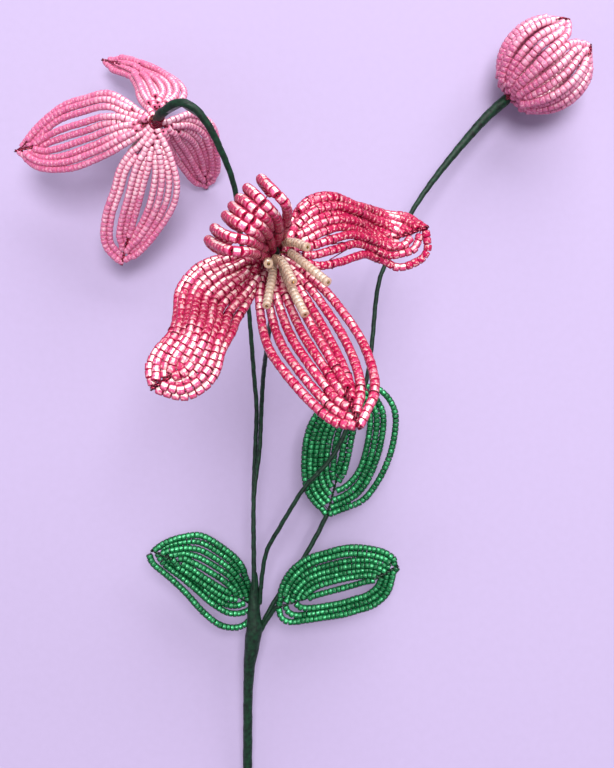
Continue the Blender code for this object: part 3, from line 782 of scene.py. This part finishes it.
def patchy(name, dark, light, constants, grain, roughness, relief):
    """A material whose colour, roughness and relief all follow one noise.

    Each colour is a setting and the share of it. The grain and the relief are in mm, and the
    roughness is that of the dark patches and that of the light ones.
    """
    material, tree, surface = new_material(name, constants)
    colours = bpy.context.scene.beadwork_colours
    dark, light = ((*(Vector(getattr(colours, setting)) * share), 1)
                   for setting, share in (dark, light))
    place = add_node(tree, "TexCoord").outputs["Object"]
    noise = add_node(tree, "TexNoise", {"Vector": place, "Scale": 1 / (grain * MM), "Detail": 3.0})
    patch = add_node(tree, "MapRange", {"Value": noise, "From Min": 0.3, "From Max": 0.75})
    colour = add_node(tree, "Mix", {0: patch, 6: dark, 7: light}, data_type="RGBA")
    rough = add_node(tree, "MapRange", {"Value": noise, "From Min": 0.3, "From Max": 0.7,
                                        "To Min": roughness[0], "To Max": roughness[1]})
    bump = add_node(tree, "Bump", {"Height": noise, "Distance": relief * MM, "Strength": 0.6})
    tree.links.new(colour.outputs[2], surface.inputs["Base Color"])
    tree.links.new(rough.outputs["Result"], surface.inputs["Roughness"])
    tree.links.new(bump.outputs["Normal"], surface.inputs["Normal"])
    return material


def seed_bead_glass(glass, sparkle, gloss, clear):
    """Silver-lined seed bead glass: a clear coloured tube, cut from drawn cane and fire polished.

    The mirror in the bore is painted into the colour as a painted highlight: a bright bar down the
    middle of each bead's band, the side turned to the painted light, strongest on the palest tones
    and a little metallic, standing for light thrown back by the silver through the glass. Round the
    bar the glass is broken into painted glints, painted reflections of what the mirror gathers,
    drawn at 0.6 mm, coarser than the real ones, so that they show. It is deepest in colour at the
    rims and the outline, where light has the longest way through it. The tone, from 0 to 1, is the
    bead's own, partly drawn at random and partly painted light, and is kept in its map.
    """
    colours = bpy.context.scene.beadwork_colours
    light, deep, rim, painted_highlight = ((*getattr(colours, f"{glass}_{part}"), 1) for part in GLASS_PARTS)
    material, tree, surface = new_material(f"silver_lined_{glass}_glass", {
        "Roughness": 0.22, "Coat Weight": gloss, "Specular IOR Level": 0.5 * gloss,
        "Transmission Weight": clear})
    own = add_node(tree, "SeparateXYZ", {0: add_node(tree, "UVMap", uv_map=UV_NAME)})
    tone, way = own.outputs["X"], own.outputs["Y"]
    place = add_node(tree, "TexCoord").outputs["Object"]
    facing = add_node(tree, "LayerWeight", {"Blend": 0.5}).outputs["Facing"]
    bands = (TONES - 1) / BAND_SPAN
    band = add_node(tree, "Math", {0: tone, 1: bands, 2: -BAND_START * bands},
                    operation="MULTIPLY_ADD")
    round_it = add_node(tree, "Math", {0: band}, operation="FRACT")
    from_top = add_node(tree, "Math", {0: round_it, 1: BAND_WIDTH / 2 * bands},
                        operation="SUBTRACT")
    beside = add_node(tree, "Math", {0: from_top}, operation="ABSOLUTE")
    off = add_node(tree, "Math", {0: way, 1: 0.5}, operation="SUBTRACT")
    away = add_node(tree, "Math", {0: off}, operation="ABSOLUTE")
    end = add_node(tree, "MapRange", {"Value": away, "From Min": 0.3, "From Max": 0.37})
    middle = add_node(tree, "MapRange", {"Value": away, "From Min": 0.37, "From Max": 0.3})
    edge = add_node(tree, "MapRange", {"Value": facing, "From Min": 0.14, "From Max": 0.55,
                                       "To Min": end, "To Max": 0.85})
    # Painted highlight: the bar down the middle of the band, strongest on the palest tones and
    # broken up by a ripple, painted in the highlight colour; it also makes the bead a little
    # metallic.
    bar = add_node(tree, "MapRange", {"Value": beside, "From Min": 0.05, "From Max": 0.034,
                                      "To Max": middle})
    painted_bar_strength = add_node(tree, "MapRange", {"Value": tone, "From Min": 0.3, "From Max": 0.7,
                                         "To Max": bar})
    ripple = add_node(tree, "TexNoise", {"Vector": place, "Scale": 1 / (1.9 * MM), "Detail": 1.0})
    mirror = add_node(tree, "MapRange", {"Value": ripple, "From Min": 0.26, "From Max": 0.42,
                                         "To Max": painted_bar_strength})
    # Painted glints: bright flecks in the highlight colour, painted reflections of what the silver
    # gathers.
    speck = add_node(tree, "TexNoise", {"Vector": place, "Scale": 1 / (0.6 * MM), "Detail": 1.0})
    painted_glints = add_node(tree, "MapRange", {"Value": speck, "From Min": 0.52, "From Max": 0.62,
                                         "To Max": sparkle})
    # The beads' tones from deep to light; a tone is partly drawn at random and partly painted
    # light.
    tinted = add_node(tree, "Mix", {0: tone, 6: deep, 7: light}, data_type="RGBA")
    glinted = add_node(tree, "Mix", {0: painted_glints, 6: tinted, 7: painted_highlight}, data_type="RGBA")
    edged = add_node(tree, "Mix", {0: edge, 6: glinted, 7: rim}, data_type="RGBA")
    colour = add_node(tree, "Mix", {0: mirror, 6: edged, 7: painted_highlight}, data_type="RGBA")
    silver = add_node(tree, "Math", {0: mirror, 1: 0.3}, operation="MULTIPLY")
    tree.links.new(colour.outputs[2], surface.inputs["Base Color"])
    tree.links.new(silver.outputs[0], surface.inputs["Metallic"])
    return material


# How much a glass's painted glints and its gloss show, and how clear it is.
GLASSES = {"rose": (0.5, 0.16, 0.0), "rose_painted_pale": (0.4, 0.22, 0.0), "cream": (0.35, 0.5, 0.6),
           "green": (0.3, 0.2, 0.0)}
# Enamelled copper beading wire: clear lacquer over drawn metal, so a dark line with a sharp
# highlight, and duller where the lacquer was rubbed as the wire was bent.
ENAMELLED = ({"Metallic": 0.85, "Coat Weight": 0.6}, 0.8, (0.2, 0.42), 0.01)
FINISHES = {
    "crimson": ("enamelled_crimson_wire", ("petal_wire", 0.55), ("petal_wire", 1), *ENAMELLED),
    "leaf_wire": ("enamelled_green_wire", ("leaf_wire", 0.55), ("leaf_wire", 1), *ENAMELLED),
    "brass": ("enamelled_gold_wire", ("stamen_wire", 0.55), ("stamen_wire", 1), *ENAMELLED),
    # Chemically silvered bore of a seed bead: a bright mirror, clouded where it is thin.
    "silver": ("silvered_bead_bore", ("bore", 0.7), ("bore", 1), {"Metallic": 1.0}, 0.4,
               (0.08, 0.25), 0.005),
    # Annealed iron stem wire: grey metal, soft and dull under the oxide left by the furnace.
    "iron": ("annealed_iron_wire", ("stem_wire", 0.45), ("stem_wire", 1), {"Metallic": 1.0}, 1.2,
             (0.35, 0.6), 0.02),
    # Waxed crepe paper tape, stretched as it is wound: finely crinkled, with the wax's low shine
    # on the crests of the crinkles. Its colour is darker in the crinkles, as painted shade, and
    # lighter on the crests, as painted sheen.
    "tape": ("waxed_crepe_floral_tape", ("tape_fold_shade", 1), ("tape_crest_sheen", 1),
             {"Specular IOR Level": 0.28}, 1.1, (0.58, 0.38), 0.12),
    # Board rolled with matt paint: even colour, with the roller's faint stipple.
    "board": ("painted_board", ("board", 0.985), ("board", 1.015), {"Specular IOR Level": 0.3},
              2.5, (0.75, 0.85), 0.03),
}
MATERIALS = {}


def finish(name):
    """One of the spray's materials, made when it is first asked for."""
    if name not in MATERIALS:
        MATERIALS[name] = (seed_bead_glass(name, *GLASSES[name]) if name in GLASSES
                           else patchy(*FINISHES[name]))
    return MATERIALS[name]


# ---------------------------------------------------------------- pieces

# Twisted wires, in mm: their radius under a sheet's foot and at its tip, and the length of a turn.
FOOT_TWIST, TIP_TWIST, TWIST_PITCH = 0.2, 0.26, 2.4
# A row wire's wrap round them: its radius in mm, its turns, and how far it runs in mm.
WRAP = (0.36, 1.3, 0.5)
# How far out from a row its lacing wire goes round, in bead widths.
LACE_REACH = 0.52
# How deep in the binding a stamen's wire starts, in mm, and a bead's length in pitches.
STAMEN_ROOT, BEAD_SHARE = 1.5, 0.985


def lace_line(strings, fraction, kit):
    """A fine wire that binds the rows side by side, wound round each."""
    turns, steps = 1.5, 12
    joints = []
    for string in strings:
        index = clamped(round(fraction * (len(string) - 1)), 0, len(string) - 2)
        joints.append(((string[index] + string[index + 1]) / 2, string[index + 1] - string[index]))
    middles = [middle for middle, _ in joints]
    line = []
    for number, (middle, heading) in enumerate(joints):
        side = square_to(heading_at(middles, number), heading)
        up = heading.cross(side).normalized()
        for step in range(steps + 1):
            angle = math.pi - math.tau * turns * step / steps
            line.append(middle + spoke(side, up, angle) * (kit["width"] * LACE_REACH))
    return line


def twisted(line, radius):
    """Two wires twisted together along a line, as pairs of a radius and points."""
    steps = 8
    fine = evenly(line, TWIST_PITCH / steps)
    side = (fine[1] - fine[0]).orthogonal().normalized()
    pair = ([], [])
    for index, place in enumerate(fine):
        heading = heading_at(fine, index)
        side = square_to(side, heading)
        other = heading.normalized().cross(side)
        reach = spoke(side, other, math.tau * index / steps) * radius
        pair[0].append(place + reach)
        pair[1].append(place - reach)
    return [(radius, pair[0]), (radius, pair[1])]


def sheet_wires(rails, strings, kit):
    """The twisted base and tip wires, each row's own wire, its turns round both, and the laces.

    The tip wires are lifted over the sheet, so that they show between the rows.
    """
    thin, lift, near_tip = kit["wire"], 0.7, 0.95
    foot = [along(rails["centre"], rails["bare"] * step / 5) for step in range(6)]
    above = sheet_normal(rails, near_tip, 0)
    above *= math.copysign(lift, above.z)
    tip = [along(rails["centre"], 1 - rails["crown"] * (1 - step / 3)) + above
           for step in range(4)]
    lines = twisted(foot, FOOT_TWIST) + twisted(tip, TIP_TWIST)
    for number, string in enumerate(strings):
        inward = 1 - abs(row_rank(rails, number))
        start = along(rails["centre"], rails["bare"] * inward)
        end = along(rails["centre"], 1 - rails["crown"] * inward) + above
        lines.append((thin, [start] + string + [end]))
        if inward < 1:
            lines.append((thin, coil(start, foot[-1] - foot[-2], *WRAP)))
            lines.append((thin, coil(end, tip[-1] - tip[-2], *WRAP)))
    return lines + [(thin, lace_line(strings, place, kit)) for place in rails["laces"]]


def nested(rails, hub=None):
    """The rails with what they leave out: the centre one goes on to the tip, and all of them
    start near the hub. "crown" is how far down from the tip the tip wire runs."""
    grown = {"bare": 0.2, "turns": (0.14, 0.12), "laces": (), "tone": 0.0,
             "late_rows": rails["rows"], **rails}
    for side in ("left", "centre", "right"):
        first = [] if hub is None else [hub.lerp(Vector(rails[side][0]), HUB_START)]
        last = [rails["left"][-1]] if side == "centre" else []
        grown[side] = first + list(rails[side]) + last
    grown["crown"] = 1 / (len(grown["centre"]) - 1)
    return grown


def beaded_sheets(tables, kit, chance, hub=None):
    """Petals or leaves: rows of beads, and the wires that carry and bind them."""
    for name, table in tables.items():
        rails = nested(table, hub)
        strings = thinned(rails, sheet_strings(rails, kit), kit["width"] * END_ROOM)
        strings = [unkinked(string, OUTER_BEND if row_rank(rails, number) else CENTRE_BEND)
                   for number, string in enumerate(settled(strings, kit, *SHEET_SETTLING))]
        # The sheet's "tone" is painted light and shade, added to the kit's usual tone.
        strung_beads(name, strings, {**kit, "tone": kit["tone"] + rails["tone"]}, chance)
        wires(f"{name}_wires", sheet_wires(rails, strings, kit), kit["metal"])


def curled_petal(name, kit, chance):
    """The folded petal, row by row, and the short tip wire that the rows come home to."""
    hub, start, end = Vector(FRONT_BINDING[1]), Vector(CURLED_TIP[0]), Vector(CURLED_TIP[1])
    strings = settled([evenly(row, kit["pitch"]) for row in CURLED_ROWS], kit, *FOLD_SETTLING)
    strung_beads(name, strings, kit, chance)
    lines = twisted([start, start.lerp(end, 0.5), end], FOOT_TWIST)
    for number, string in enumerate(strings):
        share = number / (len(strings) - 1)
        lines.append((kit["wire"], [hub] + string + [start.lerp(end, share)]))
    lines.append((kit["wire"], lace_line(strings, CURLED_LACE, kit)))
    wires(f"{name}_wires", lines, kit["metal"])


def bead_kit(kind, glass, metal="crimson", sides=10, tone=0.2, pale=0.0, gap=0.62, spread=0.3):
    """What one kind of bead needs: its shapes, glass and wire, with sizes in mm.

    "tone" is the usual tone, "pale" how much paler the beads are painted in a row's first half than
    in its second, as painted light, "gap" is what a row keeps clear at the base and tip wires, in
    bead widths, and "spread" is how far from square to the painted light's way a wire may run and
    still catch the painted light.
    """
    sizes = bpy.context.scene.beadwork_sizes
    width, length = (getattr(sizes, f"{kind}_bead_{side}") / MM for side in ("width", "length"))
    wire = (sizes.leaf_wire if metal == "leaf_wire" else sizes.petal_wire) / MM / 2
    return {"glass": glass, "width": width, "pitch": length, "wire": wire, "metal": metal,
            "tone": tone, "pale": pale, "gap": gap, "spread": spread,
            "shapes": bead_shapes(kind, width, length * BEAD_SHARE, width * sizes.bore, sides),
            "materials": [finish(glass), finish("silver")]}


def binding_frame(ends):
    """The middle of the binding's face, its axis, and two directions square to it."""
    face = Vector(ends[1])
    axis = (face - Vector(ends[0])).normalized()
    side = (Vector((1, 0, 0)) - axis * axis.x).normalized()
    return face, axis, side, axis.cross(side)


def gathered_wires(name, ends):
    """A flower's wires twisted together under its petals, and bound round."""
    face, axis, side, other = binding_frame(ends)
    neck = Vector(ends[0])
    depth = (face - neck).length
    count, steps, twist, inner, flare, thick, thin = 14, 12, 0.35, 0.75, 1.3, 0.2, 0.18
    lines = []
    for number in range(count):
        line = []
        for step in range(steps + 1):
            rise = step / steps
            angle = math.tau * (number / count + twist * rise)
            reach = inner + flare * rise ** 1.5
            line.append(neck + axis * depth * rise + spoke(side, other, angle) * reach)
        lines.append((thick, line))
    for share, radius in ((0.9, 2.1), (0.5, 1.5)):
        lines.append((thin, coil(neck + axis * depth * share, axis, radius, 3, 1.0, 14)))
    lines.append((thick, coil(face - axis * 0.1, axis, 0.9, 3, 0.5, 12)))
    wires(f"{name}_wires", lines, "crimson", [name])


def stamen_strand(name, ends, turn, beads, kit, chance):
    """A strand of beads on a wire from the binding's face, bent over the last bead."""
    face, axis, side, other = binding_frame(ends)
    foot = face + spoke(side, other, math.radians(turn)) * STAMEN_RING
    string = evenly(beads, kit["pitch"])
    strung_beads(name, [string], kit, chance)
    heading = string[-1] - string[-2]
    end = string[-1] + heading.normalized() * kit["pitch"] * 0.5
    back = string[-1] + heading.orthogonal().normalized() * kit["width"] * 0.5
    wires(f"{name}_wires", [(kit["wire"], [foot - axis * STAMEN_ROOT, foot] + string + [end]),
                            (kit["wire"], [end, back])], kit["metal"])


def flower_heart(label, ends, strands, chance):
    """A flower's gathered wires, and the strands of straw-coloured beads that stand in them."""
    gathered_wires(f"{label}_binding", ends)
    kit = bead_kit("straw", "cream", "brass")
    for number, (turn, *beads) in enumerate(strands, start=1):
        stamen_strand(f"{label}_stamen_{number}", ends, turn, beads, kit, chance)


def back_stamen(number):
    """One of the back flower's strands: its place on the ring, and its line."""
    turn = BACK_STAMEN_TURN + 360 * number / BACK_STAMENS
    face, axis, side, other = binding_frame(BACK_BINDING)
    way = spoke(side, other, math.radians(turn))
    return [turn] + [face + axis * height + way * out for height, out in BACK_STAMEN_LINE]


def bud_frame():
    """The bud's long axis, and the two directions square to it: sideways and up."""
    flat = Vector((math.cos(BUD_HEADING), math.sin(BUD_HEADING), 0.0))
    axis = flat * math.cos(BUD_TILT) + Vector((0, 0, math.sin(BUD_TILT)))
    sideways = Vector((math.sin(BUD_HEADING), -math.cos(BUD_HEADING), 0.0))
    return axis, sideways, sideways.cross(axis)


def bud_point(polar, azimuth):
    """A point of the bud's ball: polar 0 is at the stem, azimuth 0 faces up."""
    axis, sideways, up = bud_frame()
    out = spoke(up, sideways, azimuth)
    return BUD_CENTRE + BUD_BALL_RADIUS * (out * math.sin(polar) - axis * math.cos(polar))


def bud_rails(azimuth):
    """The rails of one of the bud's petals, over its ball from the stem to the tip."""
    rails = {"left": [], "centre": [], "right": [], "bulge": (0, 0, 0), "rows": BUD_ROWS,
             "bare": BUD_BARE}
    for step in range(BUD_STEPS + 1):
        fraction = step / BUD_STEPS
        middle = BUD_BASE_ANGLE + (BUD_ROWS_END_ANGLE - BUD_BASE_ANGLE) * fraction
        edge = BUD_BASE_ANGLE + (BUD_TIP_ANGLE - BUD_BASE_ANGLE) * fraction
        share = math.sin(math.pi * (BUD_OUTLINE + (1 - BUD_OUTLINE) * fraction))
        width = BUD_HALF_WIDTH * max(0.0, share) ** BUD_FULLNESS
        widest = BUD_WIDEST_ANGLE if step else BUD_BASE_SPREAD
        spread = min(widest, width / (BUD_BALL_RADIUS * math.sin(edge)))
        if step == BUD_STEPS:
            spread = 0.0
        rails["centre"].append(bud_point(middle, azimuth))
        rails["left"].append(bud_point(edge, azimuth - spread))
        rails["right"].append(bud_point(edge, azimuth + spread))
    return rails


def necked(route, share, neck):
    """A stem's route with its radius: slim at the foot, thicker where the wires are taped in."""
    slim = bpy.context.scene.beadwork_sizes.stem / MM / 2
    lengths = run_lengths(route)
    points = []
    for place, length in zip(route, lengths):
        rise = max(0.0, (length / lengths[-1] - (1 - share)) / share)
        points.append((*place, slim + (neck - slim) * rise ** NECK_CURVE))
    return points


# ---------------------------------------------------------------- the add-on


def linear(code):
    """An sRGB hex colour as linear red, green and blue."""
    values = []
    for start in (1, 3, 5):
        share = int(code[start:start + 2], 16) / 255
        values.append(share / 12.92 if share <= 0.04045 else ((share + 0.055) / 1.055) ** 2.4)
    return tuple(values)


def size(name, description, millimetres):
    return bpy.props.FloatProperty(name=name, description=description, default=millimetres * MM,
                                   min=0.1 * MM, precision=5, unit="LENGTH", subtype="DISTANCE")


def paint(name, description, code):
    return bpy.props.FloatVectorProperty(name=name, description=description, default=linear(code),
                                         size=3, min=0.0, max=1.0, subtype="COLOR")


def bead_sizes():
    """The settings for the width and the length of each kind of bead."""
    return {f"{kind}_bead_{side}": size(f"{kind} Bead {side}".title(),
                                        f"The {side} of the beads of {owner}", measure)
            for kind, (owner, *measures) in BEADS.items()
            for side, measure in zip(("width", "length"), measures)}


def glass_paints():
    """The settings for the four colours of each glass."""
    return {f"{glass}_{part}": paint(f"{glass} {part}".title(), f"{glass.title()} {what}", code)
            for glass, codes in GLASS_COLOURS.items()
            for (part, what), code in zip(GLASS_PARTS.items(), codes)}


class BEADWORK_PG_sizes(bpy.types.PropertyGroup):
    """Sizes of the beads, wires and tape"""

    __annotations__ = bead_sizes()
    petal_wire: size("Petal Wire", "Diameter of the petals' stringing wire", 0.32)
    leaf_wire: size("Leaf Wire", "Diameter of the leaves' stringing wire", 0.24)
    stem: size("Stem", "Diameter of a flower's taped stem below its neck", 1.36)
    stalk: size("Leaf Stalk", "Diameter of a leaf's taped stalk", 1.5)
    lap: size("Tape Lap", "Rise of the tape in one turn round a stem", 5.0)
    bore: bpy.props.FloatProperty(name="Bore", description="A bead's hole as a share of its width",
                                  default=0.34, min=0.1, max=0.8, subtype="FACTOR")
    seed: bpy.props.IntProperty(name="Seed", description="Start of the random draws", default=20)


class BEADWORK_PG_colours(bpy.types.PropertyGroup):
    """Colours of the glass, wires, tape and board"""

    __annotations__ = glass_paints()
    bore: paint("Bore", "Silver in the beads' holes", "#FFF4EA")
    petal_wire: paint("Petal Wire", "Enamel of the petals' wire", "#980C3A")
    leaf_wire: paint("Leaf Wire", "Enamel of the leaves' wire", "#0B3A22")
    stamen_wire: paint("Stamen Wire", "Enamel of the stamens' wire", "#C89A48")
    stem_wire: paint("Stem Wire", "Iron of the stems' wires", "#8E8E90")
    # Painted shade in the tape's crinkles, and painted sheen on its crests.
    tape_fold_shade: paint("Tape Folds", "Floral tape in its crinkles", "#020B08")
    tape_crest_sheen: paint("Tape Crests", "Floral tape on its crests", "#123A24")
    board: paint("Board", "Paint of the studio's board", "#A99BBB")


class BEADWORK_OT_front_flower(bpy.types.Operator):
    """Four rose petals and six straw-coloured stamen strands, wired to the front stem"""

    bl_idname = "beadwork.front_flower"
    bl_label = "Front Flower"

    def execute(self, context):
        chance = random.Random(context.scene.beadwork_sizes.seed)
        kit = bead_kit("petal", "rose", gap=0.78)
        # The folded petal's beads are painted paler, and catch the painted highlight over a wider
        # spread, as painted light on the fold.
        fold = bead_kit("fold", "rose", tone=0.6, spread=0.55)
        beaded_sheets(FRONT_PETALS, kit, chance, Vector(FRONT_BINDING[1]))
        curled_petal("front_petal_curled", fold, chance)
        flower_heart("front", FRONT_BINDING, FRONT_STAMENS, chance)
        return {"FINISHED"}


class BEADWORK_OT_back_flower(bpy.types.Operator):
    """Four petals of the rose beads, painted paler, and six stamen strands, wired to the hooked
    back stem
    """

    bl_idname = "beadwork.back_flower"
    bl_label = "Back Flower"

    def execute(self, context):
        chance = random.Random(context.scene.beadwork_sizes.seed + 1)
        # The back flower's beads are painted paler in the first half of each row, as painted light.
        kit = bead_kit("back", "rose_painted_pale", sides=9, tone=0.4, pale=0.8, gap=0.52)
        beaded_sheets(BACK_PETALS, kit, chance, Vector(BACK_BINDING[1]))
        strands = [back_stamen(number) for number in range(BACK_STAMENS)]
        flower_heart("back", BACK_BINDING, strands, chance)
        return {"FINISHED"}


class BEADWORK_OT_bud(bpy.types.Operator):
    """A half-open bud of four cupped petals"""

    bl_idname = "beadwork.bud"
    bl_label = "Bud"

    def execute(self, context):
        chance = random.Random(context.scene.beadwork_sizes.seed + 2)
        # The bud's beads are painted deeper in the first half of each row and paler further on, as
        # painted light.
        kit = bead_kit("bud", "rose_painted_pale", sides=9, tone=0.26, pale=-0.9, gap=0.52)
        axis = bud_frame()[0]
        base = BUD_CENTRE - axis * BUD_BALL_RADIUS
        below, above = BUD_BINDING
        petals = {f"bud_petal_{number + 1}": bud_rails(math.tau * (number + 0.5) / BUD_PETALS)
                  for number in range(BUD_PETALS)}
        beaded_sheets(petals, kit, chance)
        gathered_wires("bud_binding", (base - axis * below, base + axis * above))
        return {"FINISHED"}


class BEADWORK_OT_leaves(bpy.types.Operator):
    """Three pointed leaves of fine green beads on taped stalks"""

    bl_idname = "beadwork.leaves"
    bl_label = "Leaves"

    def execute(self, context):
        sizes = context.scene.beadwork_sizes
        chance = random.Random(sizes.seed + 3)
        kit = bead_kit("leaf", "green", "leaf_wire", sides=8, gap=0.5)
        beaded_sheets(LEAVES, kit, chance)
        radius = sizes.stalk / MM / 2
        for name, route in LEAF_STALKS.items():
            taped(f"{name}_tape", [(*place, radius) for place in route], name, sizes.lap / MM)
        return {"FINISHED"}


class BEADWORK_OT_stems(bpy.types.Operator):
    """The three flower stems and the main stem they are taped into"""

    bl_idname = "beadwork.stems"
    bl_label = "Stems"

    def execute(self, context):
        lap = context.scene.beadwork_sizes.lap / MM
        for label, (route, share, radius, neck) in STEMS.items():
            taped(f"{label}_stem", necked(route, share, radius) + neck, f"{label}_stem_tape", lap)
            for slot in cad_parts[f"{label}_stem_wire"].material_slots:
                slot.material = finish("iron")
        taped("main_stem", MAIN_ROUTE, "main_stem_tape", lap * MAIN_LAP, MAIN_SIDES)
        return {"FINISHED"}


class BEADWORK_OT_studio(bpy.types.Operator):
    """A pale board, soft studio lights and the camera"""

    bl_idname = "beadwork.studio"
    bl_label = "Studio"

    def execute(self, context):
        floor = bmesh.new()
        bmesh.ops.create_grid(floor, x_segments=1, y_segments=1, size=BOARD)
        board = bpy.data.objects.new("board", mesh_of("board", floor))
        board.data.materials.append(finish("board"))
        context.scene.collection.objects.link(board)
        world = bpy.data.worlds.new("studio")
        world.use_nodes = True
        back = world.node_tree.nodes["Background"]
        back.inputs["Color"].default_value = (*linear(SKY), 1)
        back.inputs["Strength"].default_value = SKY_STRENGTH
        context.scene.world = world
        for name, (place, aim, sides, power) in LAMPS.items():
            lamp = bpy.data.lights.new(name, "AREA")
            lamp.shape = "RECTANGLE"
            lamp.size, lamp.size_y = sides
            lamp.energy = power
            bulb = bpy.data.objects.new(name, lamp)
            bulb.location = place
            bulb.rotation_mode = "QUATERNION"
            bulb.rotation_quaternion = (Vector(place) - Vector(aim)).to_track_quat("Z", "Y")
            context.scene.collection.objects.link(bulb)
        camera = bpy.data.cameras.new("camera")
        camera.lens = LENS
        camera.sensor_width = SENSOR
        camera.clip_start = 0.01
        eye = bpy.data.objects.new("camera", camera)
        eye.location = at((0.0, 0.0, EYE_HEIGHT))
        context.scene.collection.objects.link(eye)
        context.scene.camera = eye
        context.scene.view_settings.view_transform = "Standard"
        return {"FINISHED"}


OPERATORS = (BEADWORK_OT_front_flower, BEADWORK_OT_back_flower, BEADWORK_OT_bud,
             BEADWORK_OT_leaves, BEADWORK_OT_stems, BEADWORK_OT_studio)


class BEADWORK_PT_panel(bpy.types.Panel):
    """Lists the pieces of the spray, and its sizes and colours"""

    bl_label = "Beaded Clematis Spray"
    bl_idname = "BEADWORK_PT_panel"
    bl_space_type = "VIEW_3D"
    bl_region_type = "UI"
    bl_category = "Beadwork"

    def draw(self, context):
        for operator in OPERATORS:
            self.layout.operator(operator.bl_idname)
        for group in (context.scene.beadwork_sizes, context.scene.beadwork_colours):
            for name in type(group).__annotations__:
                self.layout.prop(group, name)


CLASSES = (BEADWORK_PG_sizes, BEADWORK_PG_colours, *OPERATORS, BEADWORK_PT_panel)


def register():
    for item in CLASSES:
        bpy.utils.register_class(item)
    bpy.types.Scene.beadwork_sizes = bpy.props.PointerProperty(type=BEADWORK_PG_sizes)
    bpy.types.Scene.beadwork_colours = bpy.props.PointerProperty(type=BEADWORK_PG_colours)


def unregister():
    del bpy.types.Scene.beadwork_colours
    del bpy.types.Scene.beadwork_sizes
    for item in reversed(CLASSES):
        bpy.utils.unregister_class(item)


def main():
    register()
    for make in (bpy.ops.beadwork.front_flower, bpy.ops.beadwork.back_flower, bpy.ops.beadwork.bud,
                 bpy.ops.beadwork.leaves, bpy.ops.beadwork.stems, bpy.ops.beadwork.studio):
        make()


if __name__ == "__main__":
    main()
